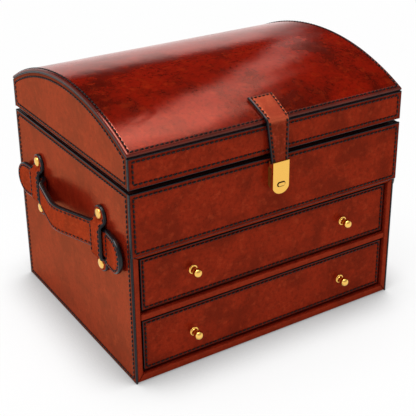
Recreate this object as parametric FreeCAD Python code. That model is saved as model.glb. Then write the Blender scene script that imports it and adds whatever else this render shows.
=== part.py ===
import FreeCAD, Part

import math
import os

from FreeCAD import Vector

# Leather covered jewelry chest. Frame: origin under the middle of the base, +Z up,
# the front faces -Y, +X is to the right of someone who faces the front. Millimetres.

# Outer sizes
width = 300.0
depth = 246.0
base_height = 192.0
lid_gap = 3.7
lid_side_height = 32.0
dome_rise = 31.5

# Leather and boards
skin_t = 2.0
panel_t = 2.5
dome_skin_t = 3.0
board_t = 5.8
dome_board_t = 4.0
edge_round = 1.0
skin_foot = 0.3
felt_t = 1.0
felt_inset = 3.0

# Face frame and drawer openings
bottom_t = 7.5
opening_height = 56.5
shelf_t = 6.5
top_rail = 3.5
frame_round = 1.2

# Upper compartment
tray_floor_t = 5.0
floor_pad_t = 2.0
wall_pad_t = 4.0
rim_t = 4.0
rim_depth = 14.0
lip_rise = 9.0
lip_gap = 0.6
rest_gap = 0.3
divider_t = 3.0
divider_height = 30.0
divider_y = 8.0
ring_bay_width = 168.0
roll_width = 15.0
roll_height = 24.0
roll_gap = 0.4

# Drawers
drawer_recess = 2.5
drawer_gap = 2.2
drawer_skin_t = 2.0
drawer_front_t = 6.0
drawer_wall_t = 5.0
drawer_wall_drop = 10.0
drawer_bottom_t = 3.0
drawer_bottom_lift = 1.0
drawer_back_gap = 3.0
drawer_running_gap = 0.3
drawer_pad_t = 1.2
drawer_pad_drop = 6.0
guide_t = 2.1
guide_height = 10.0
guide_gap = 0.4
guide_end_gap = 10.0

# Knobs
knob_spacing = 173.0
knob_drop_upper = 0.0
knob_drop_lower = 3.0
knob_flange_r = 4.6
knob_flange_t = 1.5
knob_neck_r = 2.5
knob_collar_r = 3.2
knob_round = 0.5
knob_ball_r = 4.5
knob_reach = 8.0
knob_shank_r = 1.5
knob_shank_end = 1.0

# Hinges
hinge_spacing = 180.0
hinge_length = 40.0
hinge_leaf_t = 1.0
hinge_back_gap = 0.35
hinge_leaf_inset = 0.8
hinge_knuckles = 5
hinge_end_play = 0.15
hinge_pin_r = 0.95
hinge_pin_fit = 0.05
screw_spacing = 13.0
screw_r = 0.9
screw_head_r = 1.9
screw_length = 8.0

# Lid lining
lid_pad_t = 3.5
ceiling_pad_t = 2.5

# Clasp strap and lock
strap_t = 3.6
strap_top_width = 27.0
strap_fold_width = 24.0
strap_end_width = 17.4
strap_reach = 26.0
strap_play = 0.3
strap_corner_r = 3.0
fold_drop = 2.7
strap_insert = 5.0
plate_width = 18.0
plate_height = 32.0
plate_top_drop = 2.0
plate_t = 2.6
plate_sag = 6.0
plate_round = 0.5
clamp_height = 6.0
clamp_front_t = 1.3
clamp_back_t = 1.6
clasp_gap = 0.3
lock_width = 16.0
lock_depth = 6.5
lock_inset = 1.5
button_width = 8.0
button_height = 3.8
button_lift = 9.7
button_stand = 0.8
button_travel = 0.8
button_gap = 0.25
button_flange = 1.3
button_flange_t = 0.8

# Handles, one on each end
keeper_spacing = 136.0
handle_y = -1.0
keeper_width = 19.6
keeper_height = 66.0
keeper_top_drop = 30.5
keeper_t = 3.4
keeper_side_gap = 1.2
keeper_rise_run = 3.6
keeper_bend_r = 3.0
rivet_r = 4.9
rivet_t = 1.8
rivet_round = 0.6
rivet_inset = 7.8
rivet_shank_r = 1.5
rivet_depth = 3.5
handle_t = 4.6
handle_width = 27.0
handle_drop = 0.5
handle_side_gap = 0.4
handle_keeper_gap = 0.6
handle_slide = 2.0
handle_stop_gap = 0.3
handle_lead = 14.0
handle_bow = 17.0
handle_bow_from_front = 63.0
handle_bow_r = 40.0
handle_knuckle = 7.7
handle_knuckle_from_rear = 23.0
handle_bend_r = 6.0
paddle_length = 33.0
paddle_height = 35.0
paddle_drop = 2.5
paddle_flare = 3.5
paddle_bend_r = 20.0

# Slack for tests of where an edge lies, and the overrun of a cutting shape
tolerance = 0.01
overrun = 1.0

# Values that follow from the sizes above
half_width = width / 2
front_y = -depth / 2
back_y = depth / 2
board_x = half_width - skin_t
inner_x = board_x - board_t
frame_y = front_y + panel_t
inner_front_y = frame_y + board_t
back_board_y = back_y - skin_t
inner_back_y = back_board_y - board_t
bottom_top = felt_t + bottom_t
shelf_bottom = bottom_top + opening_height
shelf_top = shelf_bottom + shelf_t
opening_top = shelf_top + opening_height
panel_bottom = opening_top + top_rail
tray_floor_top = opening_top + tray_floor_t
rim_bottom = base_height - rim_depth
lip_top = base_height + lip_rise
lid_bottom = base_height + lid_gap
spring_z = lid_bottom + lid_side_height
dome_r = (back_y ** 2 + dome_rise ** 2) / (2 * dome_rise)
dome_z = spring_z + dome_rise - dome_r
under_skin_r = dome_r - dome_skin_t
under_board_r = under_skin_r - dome_board_t
ceiling_r = under_board_r - ceiling_pad_t
knuckle_r = lid_gap / 2
hinge_y = back_y + knuckle_r + hinge_back_gap
hinge_z = base_height + knuckle_r
fold_y = front_y - strap_play - strap_t / 2
fold_z = spring_z - fold_drop
plate_back_y = front_y - lock_depth - clasp_gap
plate_front_y = plate_back_y - plate_t
plate_top = base_height - plate_top_drop
plate_bottom = plate_top - plate_height
clamp_bottom = plate_top - clamp_height
keeper_z = base_height - keeper_top_drop - keeper_height / 2
handle_z = keeper_z - handle_drop
handle_x = half_width + handle_side_gap + handle_t / 2
shoulder = keeper_width / 2 + handle_slide + handle_stop_gap


def block(x0, x1, y0, y1, z0, z1):
    return Part.makeBox(x1 - x0, y1 - y0, z1 - z0, Vector(x0, y0, z0))


def rounded(shape, radius, wanted):
    """Fillet the edges for which wanted(edge) is true."""
    edges = [edge for edge in shape.Edges if wanted(edge)]
    return shape.makeFillet(radius, edges)


def on_planes(**planes):
    """Return a test for edges that lie in every plane given, such as Y=front_y."""
    def test(edge):
        box = edge.BoundBox
        return all(
            abs(getattr(box, axis + "Min") - value) < tolerance
            and abs(getattr(box, axis + "Max") - value) < tolerance
            for axis, value in planes.items())
    return test


def mirrored(shape):
    return shape.mirror(Vector(0, 0, 0), Vector(1, 0, 0))


def round_bar(radius, x0, x1, y, z):
    return Part.makeCylinder(radius, x1 - x0, Vector(x0, y, z), Vector(1, 0, 0))


def dome_cylinder(radius):
    return round_bar(radius, -width, width, 0, dome_z)


def under_arc(shape, radius):
    """Keep what lies below the dome's arc of this radius."""
    return shape.common(dome_cylinder(radius))


def dome_shell(outer_r, inner_r, x_end, y_end):
    """Return a curved sheet between two radii of the dome."""
    crown_z = dome_z + outer_r
    slab = block(-x_end, x_end, -y_end, y_end, lid_bottom, crown_z + overrun)
    return slab.common(dome_cylinder(outer_r)).cut(dome_cylinder(inner_r))


def rounded_wire(points, radii):
    """Return a wire of straight runs with an arc of the given radius at each inner point."""
    edges = []
    start = points[0]
    for before, corner, after, radius in zip(points, points[1:], points[2:], radii):
        back = (before - corner).normalize()
        ahead = (after - corner).normalize()
        half_angle = back.getAngle(ahead) / 2
        reach = radius / math.tan(half_angle)
        arc_start = corner + back * reach
        arc_end = corner + ahead * reach
        bisector = (back + ahead).normalize()
        centre = corner + bisector * (radius / math.sin(half_angle))
        arc_middle = centre - bisector * radius
        edges.append(Part.LineSegment(start, arc_start).toShape())
        edges.append(Part.Arc(arc_start, arc_middle, arc_end).toShape())
        start = arc_end
    edges.append(Part.LineSegment(start, points[-1]).toShape())
    return Part.Wire(edges)


def strip_face(points, radii, thickness):
    """Return the section of a bent strip whose middle line runs through the points."""
    middle = rounded_wire(points, radii)
    outline = middle.makeOffset2D(thickness / 2, join=0, fill=False, openResult=False)
    return Part.Face(outline)


def make_case():
    """Boards, face frame, leather and felt of the chest's base."""
    pieces = {}
    side = block(inner_x, board_x, inner_front_y, inner_back_y, felt_t, base_height)
    pieces["case_side_right"] = side.cut(Part.makeCompound(rivet_shanks()))
    pieces["case_side_left"] = mirrored(pieces["case_side_right"])
    back = block(-board_x, board_x, inner_back_y, back_board_y, felt_t, base_height)
    pieces["case_back"] = back.cut(Part.makeCompound(lower_screws()))
    inside = (-inner_x, inner_x, inner_front_y, inner_back_y)
    pieces["case_bottom"] = block(*inside, felt_t, bottom_top)
    pieces["drawer_shelf"] = block(*inside, shelf_bottom, shelf_top)
    pieces["tray_floor"] = block(*inside, opening_top, tray_floor_top)
    pieces["tray_front"] = block(-board_x, board_x, frame_y, inner_front_y, panel_bottom, base_height)
    pieces["face_frame"] = make_face_frame()
    pieces["base_felt"] = block(
        felt_inset - board_x, board_x - felt_inset,
        frame_y + felt_inset, back_board_y - felt_inset, 0, felt_t)
    pieces["drawer_guides"] = make_guides()

    panel = block(-half_width, half_width, front_y, frame_y, panel_bottom, base_height)
    pieces["tray_front_skin"] = rounded(panel, edge_round, on_planes(Y=front_y))
    skin = block(board_x, half_width, frame_y, back_board_y, skin_foot, base_height)
    skin = rounded(skin, edge_round, on_planes(X=half_width))
    pieces["side_skin_right"] = skin.cut(Part.makeCompound(rivet_shanks()))
    pieces["side_skin_left"] = mirrored(pieces["side_skin_right"])
    skin = block(-half_width, half_width, back_board_y, back_y, skin_foot, base_height)
    pieces["back_skin"] = rounded(skin, edge_round, on_planes(Y=back_y))
    return pieces


def make_face_frame():
    """Leather wrapped frame round both drawers."""
    frame = block(-board_x, board_x, frame_y, inner_front_y, felt_t, panel_bottom)
    for z0 in (bottom_top, shelf_top):
        frame = frame.cut(block(-inner_x, inner_x, frame_y, inner_front_y, z0, z0 + opening_height))

    def inner_edge(edge):
        box = edge.BoundBox
        inside = box.XMin > -inner_x - tolerance and box.XMax < inner_x + tolerance
        between = box.ZMin > felt_t + tolerance and box.ZMax < panel_bottom - tolerance
        return on_planes(Y=frame_y)(edge) and inside and between
    return rounded(frame, frame_round, inner_edge)


def make_guides():
    """Strips that guide the drawers' sides, two for each drawer."""
    guides = []
    for z0 in (bottom_top, shelf_top):
        strip = block(
            inner_x - guide_t, inner_x, inner_front_y + guide_end_gap,
            inner_back_y - guide_end_gap, z0, z0 + guide_height)
        guides += [strip, mirrored(strip)]
    return Part.makeCompound(guides)


def make_tray():
    """Raised rim, padding, partitions and ring rolls of the upper compartment."""
    pieces = {}
    pieces["rim_lip"] = make_rim()
    pad_x = inner_x - wall_pad_t
    pad_front = inner_front_y + wall_pad_t
    pad_back = inner_back_y - wall_pad_t
    floor_top = tray_floor_top + floor_pad_t
    pieces["tray_lining"] = Part.makeCompound([
        block(-inner_x, inner_x, inner_front_y, inner_back_y, tray_floor_top, floor_top),
        block(-inner_x, inner_x, inner_front_y, pad_front, floor_top, rim_bottom),
        block(-inner_x, inner_x, pad_back, inner_back_y, floor_top, rim_bottom),
        block(-inner_x, -pad_x, pad_front, pad_back, floor_top, rim_bottom),
        block(pad_x, inner_x, pad_front, pad_back, floor_top, rim_bottom)])

    divider_top = floor_top + divider_height
    bay_x = -pad_x + ring_bay_width
    third = 2 * pad_x / 3
    long_back = divider_y + divider_t
    dividers = [
        block(-pad_x, pad_x, divider_y, long_back, floor_top, divider_top),
        block(bay_x, bay_x + divider_t, pad_front, divider_y, floor_top, divider_top)]
    for index in (1, 2):
        middle = -pad_x + index * third
        dividers.append(block(
            middle - divider_t / 2, middle + divider_t / 2, long_back, pad_back, floor_top, divider_top))
    pieces["tray_dividers"] = Part.makeCompound(dividers)
    pieces["ring_rolls"] = make_ring_rolls(-pad_x, bay_x, pad_front, divider_y, floor_top)
    return pieces


def make_rim():
    """Four strips with a step, so that the lid's walls pass outside their upper part."""
    rim = []
    step = lip_gap
    low = base_height - lip_gap
    for side in (-1, 1):
        if side < 0:
            outer, inner = inner_front_y, inner_front_y + rim_t
            step_outer = outer + step
        else:
            outer, inner = inner_back_y, inner_back_y - rim_t
            step_outer = outer - step
        y0, y1 = sorted((outer, inner))
        upper0, upper1 = sorted((step_outer, inner))
        strip = block(-inner_x, inner_x, y0, y1, rim_bottom, low)
        strip = strip.fuse(block(step - inner_x, inner_x - step, upper0, upper1, low, lip_top))
        rim.append(strip.removeSplitter())
    y0 = inner_front_y + rim_t
    y1 = inner_back_y - rim_t
    strip = block(inner_x - rim_t, inner_x, y0, y1, rim_bottom, low)
    strip = strip.fuse(block(inner_x - rim_t, inner_x - step, y0, y1, low, lip_top))
    strip = strip.removeSplitter()
    rim += [strip, mirrored(strip)]
    return Part.makeCompound(rim)


def make_ring_rolls(x0, x1, y0, y1, z0):
    """Upright pads with round tops that hold rings between them."""
    pitch = roll_width + roll_gap
    count = int((y1 - y0) / pitch)
    first = y1 - count * pitch
    radius = roll_width / 2
    rolls = []
    for index in range(count):
        y = first + index * pitch + radius
        roll = block(x0, x1 - roll_gap, y - radius, y + radius, z0, z0 + roll_height - radius)
        roll = roll.fuse(round_bar(radius, x0, x1 - roll_gap, y, z0 + roll_height - radius))
        rolls.append(roll.removeSplitter())
    return Part.makeCompound(rolls)


def make_lid():
    """Boards, leather and lining of the domed lid."""
    pieces = {}
    top = dome_z + dome_r + overrun
    y0 = front_y + skin_t
    y1 = y0 + board_t
    front = under_arc(block(-board_x, board_x, y0, y1, lid_bottom, top), under_board_r)
    pieces["lid_front"] = front
    back = under_arc(block(-board_x, board_x, -y1, -y0, lid_bottom, top), under_board_r)
    pieces["lid_back"] = back.cut(Part.makeCompound(upper_screws()))
    end = under_arc(block(inner_x, board_x, y1, -y1, lid_bottom, top), under_board_r)
    pieces["lid_end_right"] = end
    pieces["lid_end_left"] = mirrored(end)
    pieces["lid_dome"] = dome_shell(under_skin_r, under_board_r, board_x, -y0)

    skin = dome_shell(dome_r, under_skin_r, half_width, back_y)
    pieces["lid_dome_skin"] = skin
    skin = under_arc(block(-half_width, half_width, front_y, y0, lid_bottom, top), under_skin_r)
    skin = rounded(skin, edge_round, on_planes(Y=front_y, Z=lid_bottom))
    pieces["lid_front_skin"] = skin
    pieces["lid_back_skin"] = skin.mirror(Vector(0, 0, 0), Vector(0, 1, 0))
    skin = under_arc(block(board_x, half_width, y0, -y0, lid_bottom, top), under_skin_r)
    skin = rounded(skin, edge_round, on_planes(X=half_width, Z=lid_bottom))
    pieces["lid_end_skin_right"] = skin
    pieces["lid_end_skin_left"] = mirrored(skin)

    z0 = lip_top + rest_gap
    pad_x = inner_x - lid_pad_t
    pad_y = y1 + lid_pad_t
    walls = [
        block(-inner_x, inner_x, y1, pad_y, z0, top),
        block(-inner_x, inner_x, -pad_y, -y1, z0, top),
        block(-inner_x, -pad_x, pad_y, -pad_y, z0, top),
        block(pad_x, inner_x, pad_y, -pad_y, z0, top)]
    lining = [under_arc(wall, ceiling_r) for wall in walls]
    lining.append(dome_shell(under_board_r, ceiling_r, inner_x, -y1))
    pieces["lid_lining"] = Part.makeCompound(lining)
    return pieces


def knuckle_spans():
    """Return the start and end of each knuckle along one hinge, from its left end."""
    step = hinge_length / hinge_knuckles
    return [(index * step, (index + 1) * step) for index in range(hinge_knuckles)]


def hinge_starts():
    return [side * hinge_spacing / 2 - hinge_length / 2 for side in (-1, 1)]


def hinge_leaf(start, first, leaf_z0, leaf_z1):
    """Return one leaf with every second knuckle, the first at index first."""
    leaf = block(start, start + hinge_length, inner_back_y + hinge_leaf_inset, hinge_y, leaf_z0, leaf_z1)
    room = knuckle_r + hinge_back_gap
    for index, (a, b) in enumerate(knuckle_spans()):
        if index % 2 == first:
            leaf = leaf.fuse(round_bar(
                knuckle_r, start + a + hinge_end_play, start + b - hinge_end_play, hinge_y, hinge_z))
    for index, (a, b) in enumerate(knuckle_spans()):
        if index % 2 != first:
            leaf = leaf.cut(block(
                start + a - hinge_end_play, start + b + hinge_end_play,
                hinge_y - room, hinge_y + room, hinge_z - room, hinge_z + room))
    return leaf.cut(round_bar(hinge_pin_r + hinge_pin_fit, start, start + hinge_length, hinge_y, hinge_z))


def screw(x, head_z, direction):
    """Return a countersunk screw whose head's top is at head_z."""
    y = (inner_back_y + back_board_y) / 2
    base = Vector(x, y, head_z)
    along = Vector(0, 0, direction)
    head = Part.makeCone(screw_head_r, screw_r, hinge_leaf_t, base, along)
    shank = Part.makeCylinder(screw_r, screw_length, base, along)
    return head.fuse(shank).removeSplitter()


def screw_places():
    middles = [start + hinge_length / 2 for start in hinge_starts()]
    return [middle + offset * screw_spacing for middle in middles for offset in (-1, 0, 1)]


def lower_screws():
    return [screw(x, base_height + hinge_leaf_t, -1) for x in screw_places()]


def upper_screws():
    return [screw(x, lid_bottom - hinge_leaf_t, 1) for x in screw_places()]


def make_hinges():
    """Two butt hinges that lie in the gap between base and lid."""
    starts = hinge_starts()
    low = [hinge_leaf(start, 0, base_height, base_height + hinge_leaf_t) for start in starts]
    high = [hinge_leaf(start, 1, lid_bottom - hinge_leaf_t, lid_bottom) for start in starts]
    pins = [round_bar(hinge_pin_r, start, start + hinge_length, hinge_y, hinge_z) for start in starts]
    lower = Part.makeCompound(lower_screws())
    upper = Part.makeCompound(upper_screws())
    return {
        "hinge_lower_leaves": Part.makeCompound([leaf.cut(lower) for leaf in low]),
        "hinge_upper_leaves": Part.makeCompound([leaf.cut(upper) for leaf in high]),
        "hinge_pins": Part.makeCompound(pins),
        "hinge_screws_lower": lower,
        "hinge_screws_upper": upper}


def plate_outline(half, bottom, top, y0, y1, sag):
    """Return a flat plate with a rounded lower end, between two planes of Y."""
    points = [
        Vector(-half, y0, bottom + sag), Vector(0, y0, bottom), Vector(half, y0, bottom + sag),
        Vector(half, y0, top), Vector(-half, y0, top)]
    wire = Part.Wire([
        Part.Arc(points[0], points[1], points[2]).toShape(),
        Part.LineSegment(points[2], points[3]).toShape(),
        Part.LineSegment(points[3], points[4]).toShape(),
        Part.LineSegment(points[4], points[0]).toShape()])
    return Part.Face(wire).extrude(Vector(0, y1 - y0, 0))


def button_form(margin, y0, y1):
    """Return the button's outline, grown by a margin, as a prism between two planes of Y."""
    z = plate_bottom + button_lift
    radius = button_height / 2 + margin
    end = (button_width - button_height) / 2
    form = block(-end, end, y0, y1, z - radius, z + radius)
    for x in (-end, end):
        form = form.fuse(Part.makeCylinder(radius, y1 - y0, Vector(x, y0, z), Vector(0, 1, 0)))
    return form.removeSplitter()


def trapezoid(width_a, width_b, a, b, along):
    """Return a tall prism whose width goes from width_a at a to width_b at b."""
    outline = [(-width_a / 2, a), (width_a / 2, a), (width_b / 2, b), (-width_b / 2, b)]
    if along == "Z":
        corners = [Vector(x, -depth, z) for x, z in outline]
        push = Vector(0, depth, 0)
    else:
        corners = [Vector(x, y, 0) for x, y in outline]
        push = Vector(0, 0, 2 * base_height)
    return Part.Face(Part.makePolygon(corners + corners[:1])).extrude(push)


def make_strap_tail():
    """Free part of the strap, from the fold down into the plate's clamp."""
    end_y = plate_front_y + clamp_front_t + strap_t / 2
    end_z = plate_top - strap_insert
    length = math.hypot(end_y - fold_y, end_z - fold_z)
    lean = math.degrees(math.atan2(end_y - fold_y, fold_z - end_z))
    half = strap_fold_width / 2
    tail = block(-half, half, -strap_t / 2, strap_t / 2, -length, 0)
    tail = tail.fuse(round_bar(strap_t / 2, -half, half, 0, 0)).removeSplitter()
    tail.rotate(Vector(0, 0, 0), Vector(1, 0, 0), lean)
    tail.translate(Vector(0, fold_y, fold_z))
    return tail.common(trapezoid(strap_end_width, strap_fold_width, end_z - overrun, fold_z + strap_t, "Z"))


def make_clasp():
    """Strap over the lid's front edge, brass plate, push button and lock body."""
    pieces = {}
    slab_y0 = fold_y - strap_t / 2
    slab_bottom = fold_z + strap_t / 2 + strap_play
    reach_y = front_y + strap_reach
    wide = strap_top_width
    band = block(-wide, wide, slab_y0, reach_y, slab_bottom, dome_z + dome_r + strap_t)
    band = band.common(dome_cylinder(dome_r + strap_t)).cut(dome_cylinder(dome_r))
    corner_z = dome_z + math.sqrt((dome_r + strap_t) ** 2 - slab_y0 ** 2)
    slab = block(-wide, wide, slab_y0, slab_y0 + strap_t, slab_bottom, corner_z)
    slab = slab.common(dome_cylinder(dome_r + strap_t))
    anchor = band.fuse(slab).removeSplitter()
    anchor = rounded(anchor, strap_corner_r, on_planes(Y=slab_y0, Z=corner_z))
    behind = block(-wide, wide, front_y, reach_y, slab_bottom, spring_z)
    anchor = anchor.cut(behind.common(dome_cylinder(dome_r)))
    sides = trapezoid(strap_fold_width, strap_top_width, slab_y0, reach_y, "Y")
    pieces["strap_anchor"] = anchor.common(sides)

    tail = make_strap_tail()
    pieces["strap_tail"] = tail

    plate = plate_outline(plate_width / 2, plate_bottom, plate_top, plate_front_y, plate_back_y, plate_sag)
    plate = rounded(plate, plate_round, on_planes(Y=plate_front_y))
    flange_y = plate_back_y - button_travel - button_flange_t
    hole = button_form(button_gap, plate_front_y, plate_back_y)
    recess = button_form(button_gap + button_flange, flange_y, plate_back_y)
    pieces["hasp_plate"] = plate.cut(tail).cut(hole).cut(recess)

    clamp_back = plate_front_y + clamp_front_t + strap_t + clamp_back_t
    clamp = block(-plate_width / 2, plate_width / 2, plate_back_y, clamp_back, clamp_bottom, plate_top)
    pieces["hasp_clamp"] = clamp.cut(tail)

    face_y = plate_front_y - button_stand
    button = rounded(button_form(0, face_y, flange_y), plate_round, on_planes(Y=face_y))
    flange = button_form(button_flange, flange_y, flange_y + button_flange_t)
    pieces["push_button"] = button.fuse(flange).removeSplitter()

    lock_face = front_y - lock_depth
    lock = plate_outline(
        lock_width / 2, plate_bottom + lock_inset, clamp_bottom - clasp_gap, lock_face, front_y, plate_sag)
    pieces["lock_body"] = rounded(lock, plate_round, on_planes(Y=lock_face))
    return pieces


def make_knob(x, face_y, z):
    """Return a ball knob with a round flange, a waisted neck and a screw shank."""
    out = Vector(0, -1, 0)
    base = Vector(x, face_y, z)
    flange = Part.makeCylinder(knob_flange_r, knob_flange_t, base, out)
    flange = rounded(flange, knob_round, on_planes(Y=face_y - knob_flange_t))
    ball = Part.makeSphere(knob_ball_r, Vector(x, face_y - knob_reach, z))
    neck = Part.makeCylinder(knob_neck_r, knob_reach, base, out)
    collar = Part.makeCone(knob_collar_r, knob_neck_r, knob_reach / 2, base, out)
    shank_length = drawer_skin_t + drawer_front_t - knob_shank_end
    shank = Part.makeCylinder(knob_shank_r, shank_length, base, Vector(0, 1, 0))
    return flange.fuse([neck, collar, ball, shank]).removeSplitter()


def make_drawer(name, z0, knob_drop):
    """One drawer in the opening whose floor is at z0."""
    pieces = {}
    face_y = frame_y + drawer_recess
    board_y = face_y + drawer_skin_t
    wall_y = board_y + drawer_front_t
    face_x = inner_x - drawer_gap
    face_z0 = z0 + drawer_gap
    face_z1 = z0 + opening_height - drawer_gap
    knob_z = (face_z0 + face_z1) / 2 - knob_drop
    knobs = [make_knob(side * knob_spacing / 2, face_y, knob_z) for side in (-1, 1)]
    holes = Part.makeCompound(knobs)

    skin = block(-face_x, face_x, face_y, board_y, face_z0, face_z1)
    skin = rounded(skin, edge_round, on_planes(Y=face_y))
    pieces[name + "_skin"] = skin.cut(holes)
    pieces[name + "_front"] = block(-face_x, face_x, board_y, wall_y, face_z0, face_z1).cut(holes)
    pieces[name + "_knobs"] = holes

    wall_x = inner_x - guide_t - guide_gap
    wall_z0 = z0 + drawer_running_gap
    wall_z1 = z0 + opening_height - drawer_wall_drop
    rear_y = inner_back_y - drawer_back_gap
    in_x = wall_x - drawer_wall_t
    in_back = rear_y - drawer_wall_t
    side = block(in_x, wall_x, wall_y, rear_y, wall_z0, wall_z1)
    back = block(-in_x, in_x, in_back, rear_y, wall_z0, wall_z1)
    pieces[name + "_walls"] = Part.makeCompound([side, mirrored(side), back])
    floor_z0 = wall_z0 + drawer_bottom_lift
    floor_z1 = floor_z0 + drawer_bottom_t
    pieces[name + "_bottom"] = block(-in_x, in_x, wall_y, in_back, floor_z0, floor_z1)

    pad_z = floor_z1 + drawer_pad_t
    pad_top = wall_z1 - drawer_pad_drop
    pad_x = in_x - drawer_pad_t
    pad_y0 = wall_y + drawer_pad_t
    pad_y1 = in_back - drawer_pad_t
    pieces[name + "_lining"] = Part.makeCompound([
        block(-in_x, in_x, wall_y, in_back, floor_z1, pad_z),
        block(-in_x, in_x, wall_y, pad_y0, pad_z, pad_top),
        block(-in_x, in_x, pad_y1, in_back, pad_z, pad_top),
        block(-in_x, -pad_x, pad_y0, pad_y1, pad_z, pad_top),
        block(pad_x, in_x, pad_y0, pad_y1, pad_z, pad_top)])
    return pieces


def keeper_places():
    return [handle_y - keeper_spacing / 2, handle_y + keeper_spacing / 2]


def rivet(y, z):
    """Return one rivet of the right hand handle, through keeper and leather into the board."""
    base = Vector(half_width + keeper_t, y, z)
    out = Vector(1, 0, 0)
    head = Part.makeCylinder(rivet_r, rivet_t, base, out)
    head = rounded(head, rivet_round, on_planes(X=half_width + keeper_t + rivet_t))
    length = keeper_t + skin_t + rivet_depth
    shank = Part.makeCylinder(rivet_shank_r, length, base, Vector(-1, 0, 0))
    return head.fuse(shank).removeSplitter()


def rivet_heights():
    reach = keeper_height / 2 - rivet_inset
    return [keeper_z - reach, keeper_z + reach]


def rivet_shanks():
    return [rivet(y, z) for y in keeper_places() for z in rivet_heights()]


def make_keeper(y):
    """Return a loop of strap with round ends that bridges the handle."""
    flat_x = half_width + keeper_t / 2
    bridge_x = handle_x + handle_t / 2 + handle_keeper_gap + keeper_t / 2
    low = keeper_z - keeper_height / 2 - keeper_t
    high = keeper_z + keeper_height / 2 + keeper_t
    bridge = handle_width / 2 + handle_drop + keeper_side_gap
    foot = bridge + keeper_rise_run
    path = [
        (flat_x, low), (flat_x, keeper_z - foot), (bridge_x, keeper_z - bridge),
        (bridge_x, keeper_z + bridge), (flat_x, keeper_z + foot), (flat_x, high)]
    points = [Vector(x, 0, z) for x, z in path]
    strip = strip_face(points, [keeper_bend_r] * 4, keeper_t).extrude(Vector(0, keeper_width, 0))
    strip.translate(Vector(0, y - keeper_width / 2, 0))
    radius = keeper_width / 2
    x0, x1 = half_width, bridge_x + keeper_t
    end = keeper_height / 2 - radius
    outline = block(x0, x1, y - radius, y + radius, keeper_z - end, keeper_z + end)
    for side in (-end, end):
        outline = outline.fuse(round_bar(radius, x0, x1, y, keeper_z + side))
    return strip.common(outline.removeSplitter()).cut(Part.makeCompound(rivet_shanks()))


def make_handle():
    """Return the right hand handle: a thick bowed strap with a paddle at each end."""
    front, rear = keeper_places()
    tip = shoulder + paddle_length + handle_t
    flare_x = handle_x + paddle_flare
    path = [
        (flare_x, front - tip), (handle_x, front - shoulder), (handle_x, front + handle_lead),
        (handle_x + handle_bow, front + handle_bow_from_front),
        (handle_x + handle_knuckle, rear - handle_knuckle_from_rear),
        (handle_x, rear - handle_lead), (handle_x, rear + shoulder), (flare_x, rear + tip)]
    points = [Vector(x, y, 0) for x, y in path]
    bow_radii = [handle_bend_r, handle_bow_r, handle_bend_r, handle_bend_r]
    radii = [paddle_bend_r] + bow_radii + [paddle_bend_r]
    strap = strip_face(points, radii, handle_t).extrude(Vector(0, 0, 2 * paddle_height))
    strap.translate(Vector(0, 0, handle_z - paddle_height))

    x0, x1 = half_width, handle_x + handle_bow + handle_t
    half = handle_width / 2
    outline = block(x0, x1, front - shoulder, rear + shoulder, handle_z - half, handle_z + half)
    radius = paddle_height / 2
    paddle_z = handle_z - paddle_drop
    for place, side in ((front, -1), (rear, 1)):
        end_y = place + side * (shoulder + paddle_length - radius)
        y0, y1 = sorted((place + side * shoulder, end_y))
        paddle = block(x0, x1, y0, y1, paddle_z - radius, paddle_z + radius)
        outline = outline.fuse([paddle, round_bar(radius, x0, x1, end_y, paddle_z)])
    return strap.common(outline.removeSplitter())


def make_handles():
    """Handles, keepers and rivets of both ends."""
    pieces = {}
    for place, y in zip(("front", "rear"), keeper_places()):
        keeper = make_keeper(y)
        pieces["keeper_right_" + place] = keeper
        pieces["keeper_left_" + place] = mirrored(keeper)
    rivets = rivet_shanks()
    pieces["keeper_rivets"] = Part.makeCompound(rivets + [mirrored(shape) for shape in rivets])
    pieces["handle_right"] = make_handle()
    pieces["handle_left"] = mirrored(pieces["handle_right"])
    return pieces


def make_chest():
    """Return every piece of the chest by name."""
    pieces = {}
    pieces.update(make_case())
    pieces.update(make_tray())
    pieces.update(make_lid())
    pieces.update(make_hinges())
    pieces.update(make_clasp())
    pieces.update(make_drawer("drawer_upper", shelf_top, knob_drop_upper))
    pieces.update(make_drawer("drawer_lower", bottom_top, knob_drop_lower))
    pieces.update(make_handles())
    return pieces


os.makedirs("parts", exist_ok=True)
for name, shape in make_chest().items():
    shape.exportStep("parts/" + name + ".step")
    print(name, len(shape.Solids), "solids, volume", round(shape.Volume), "valid", shape.isValid())
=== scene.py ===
"""Looks of a leather covered jewelry chest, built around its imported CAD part.

Leather pieces are cut as flat patterns in millimetres, given a rounded edge and a stitch groove, and
then laid on the chest: flat on a wall, round the dome or along a bent strap.
"""

import logging
import math
from dataclasses import dataclass, field
from enum import Enum
from typing import Callable, Optional, Sequence, Union

import bmesh
import bpy
import numpy as np
from mathutils import Matrix, Vector, noise


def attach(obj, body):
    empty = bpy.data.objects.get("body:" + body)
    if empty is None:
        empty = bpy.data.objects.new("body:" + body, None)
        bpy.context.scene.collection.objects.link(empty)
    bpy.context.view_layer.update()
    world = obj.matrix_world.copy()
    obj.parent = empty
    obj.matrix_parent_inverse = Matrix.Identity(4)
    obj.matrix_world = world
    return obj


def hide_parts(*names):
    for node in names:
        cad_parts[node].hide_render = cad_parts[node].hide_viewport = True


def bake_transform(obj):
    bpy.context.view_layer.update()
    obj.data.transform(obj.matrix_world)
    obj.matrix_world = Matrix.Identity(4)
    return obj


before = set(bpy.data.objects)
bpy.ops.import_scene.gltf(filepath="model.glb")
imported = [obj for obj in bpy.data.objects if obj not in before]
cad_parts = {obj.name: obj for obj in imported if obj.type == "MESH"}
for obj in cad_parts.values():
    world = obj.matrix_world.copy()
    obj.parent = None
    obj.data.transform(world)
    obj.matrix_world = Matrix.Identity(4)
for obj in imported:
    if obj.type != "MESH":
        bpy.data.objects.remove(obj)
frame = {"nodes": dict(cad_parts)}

LOG = logging.getLogger("chest")
MM = 0.001
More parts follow.
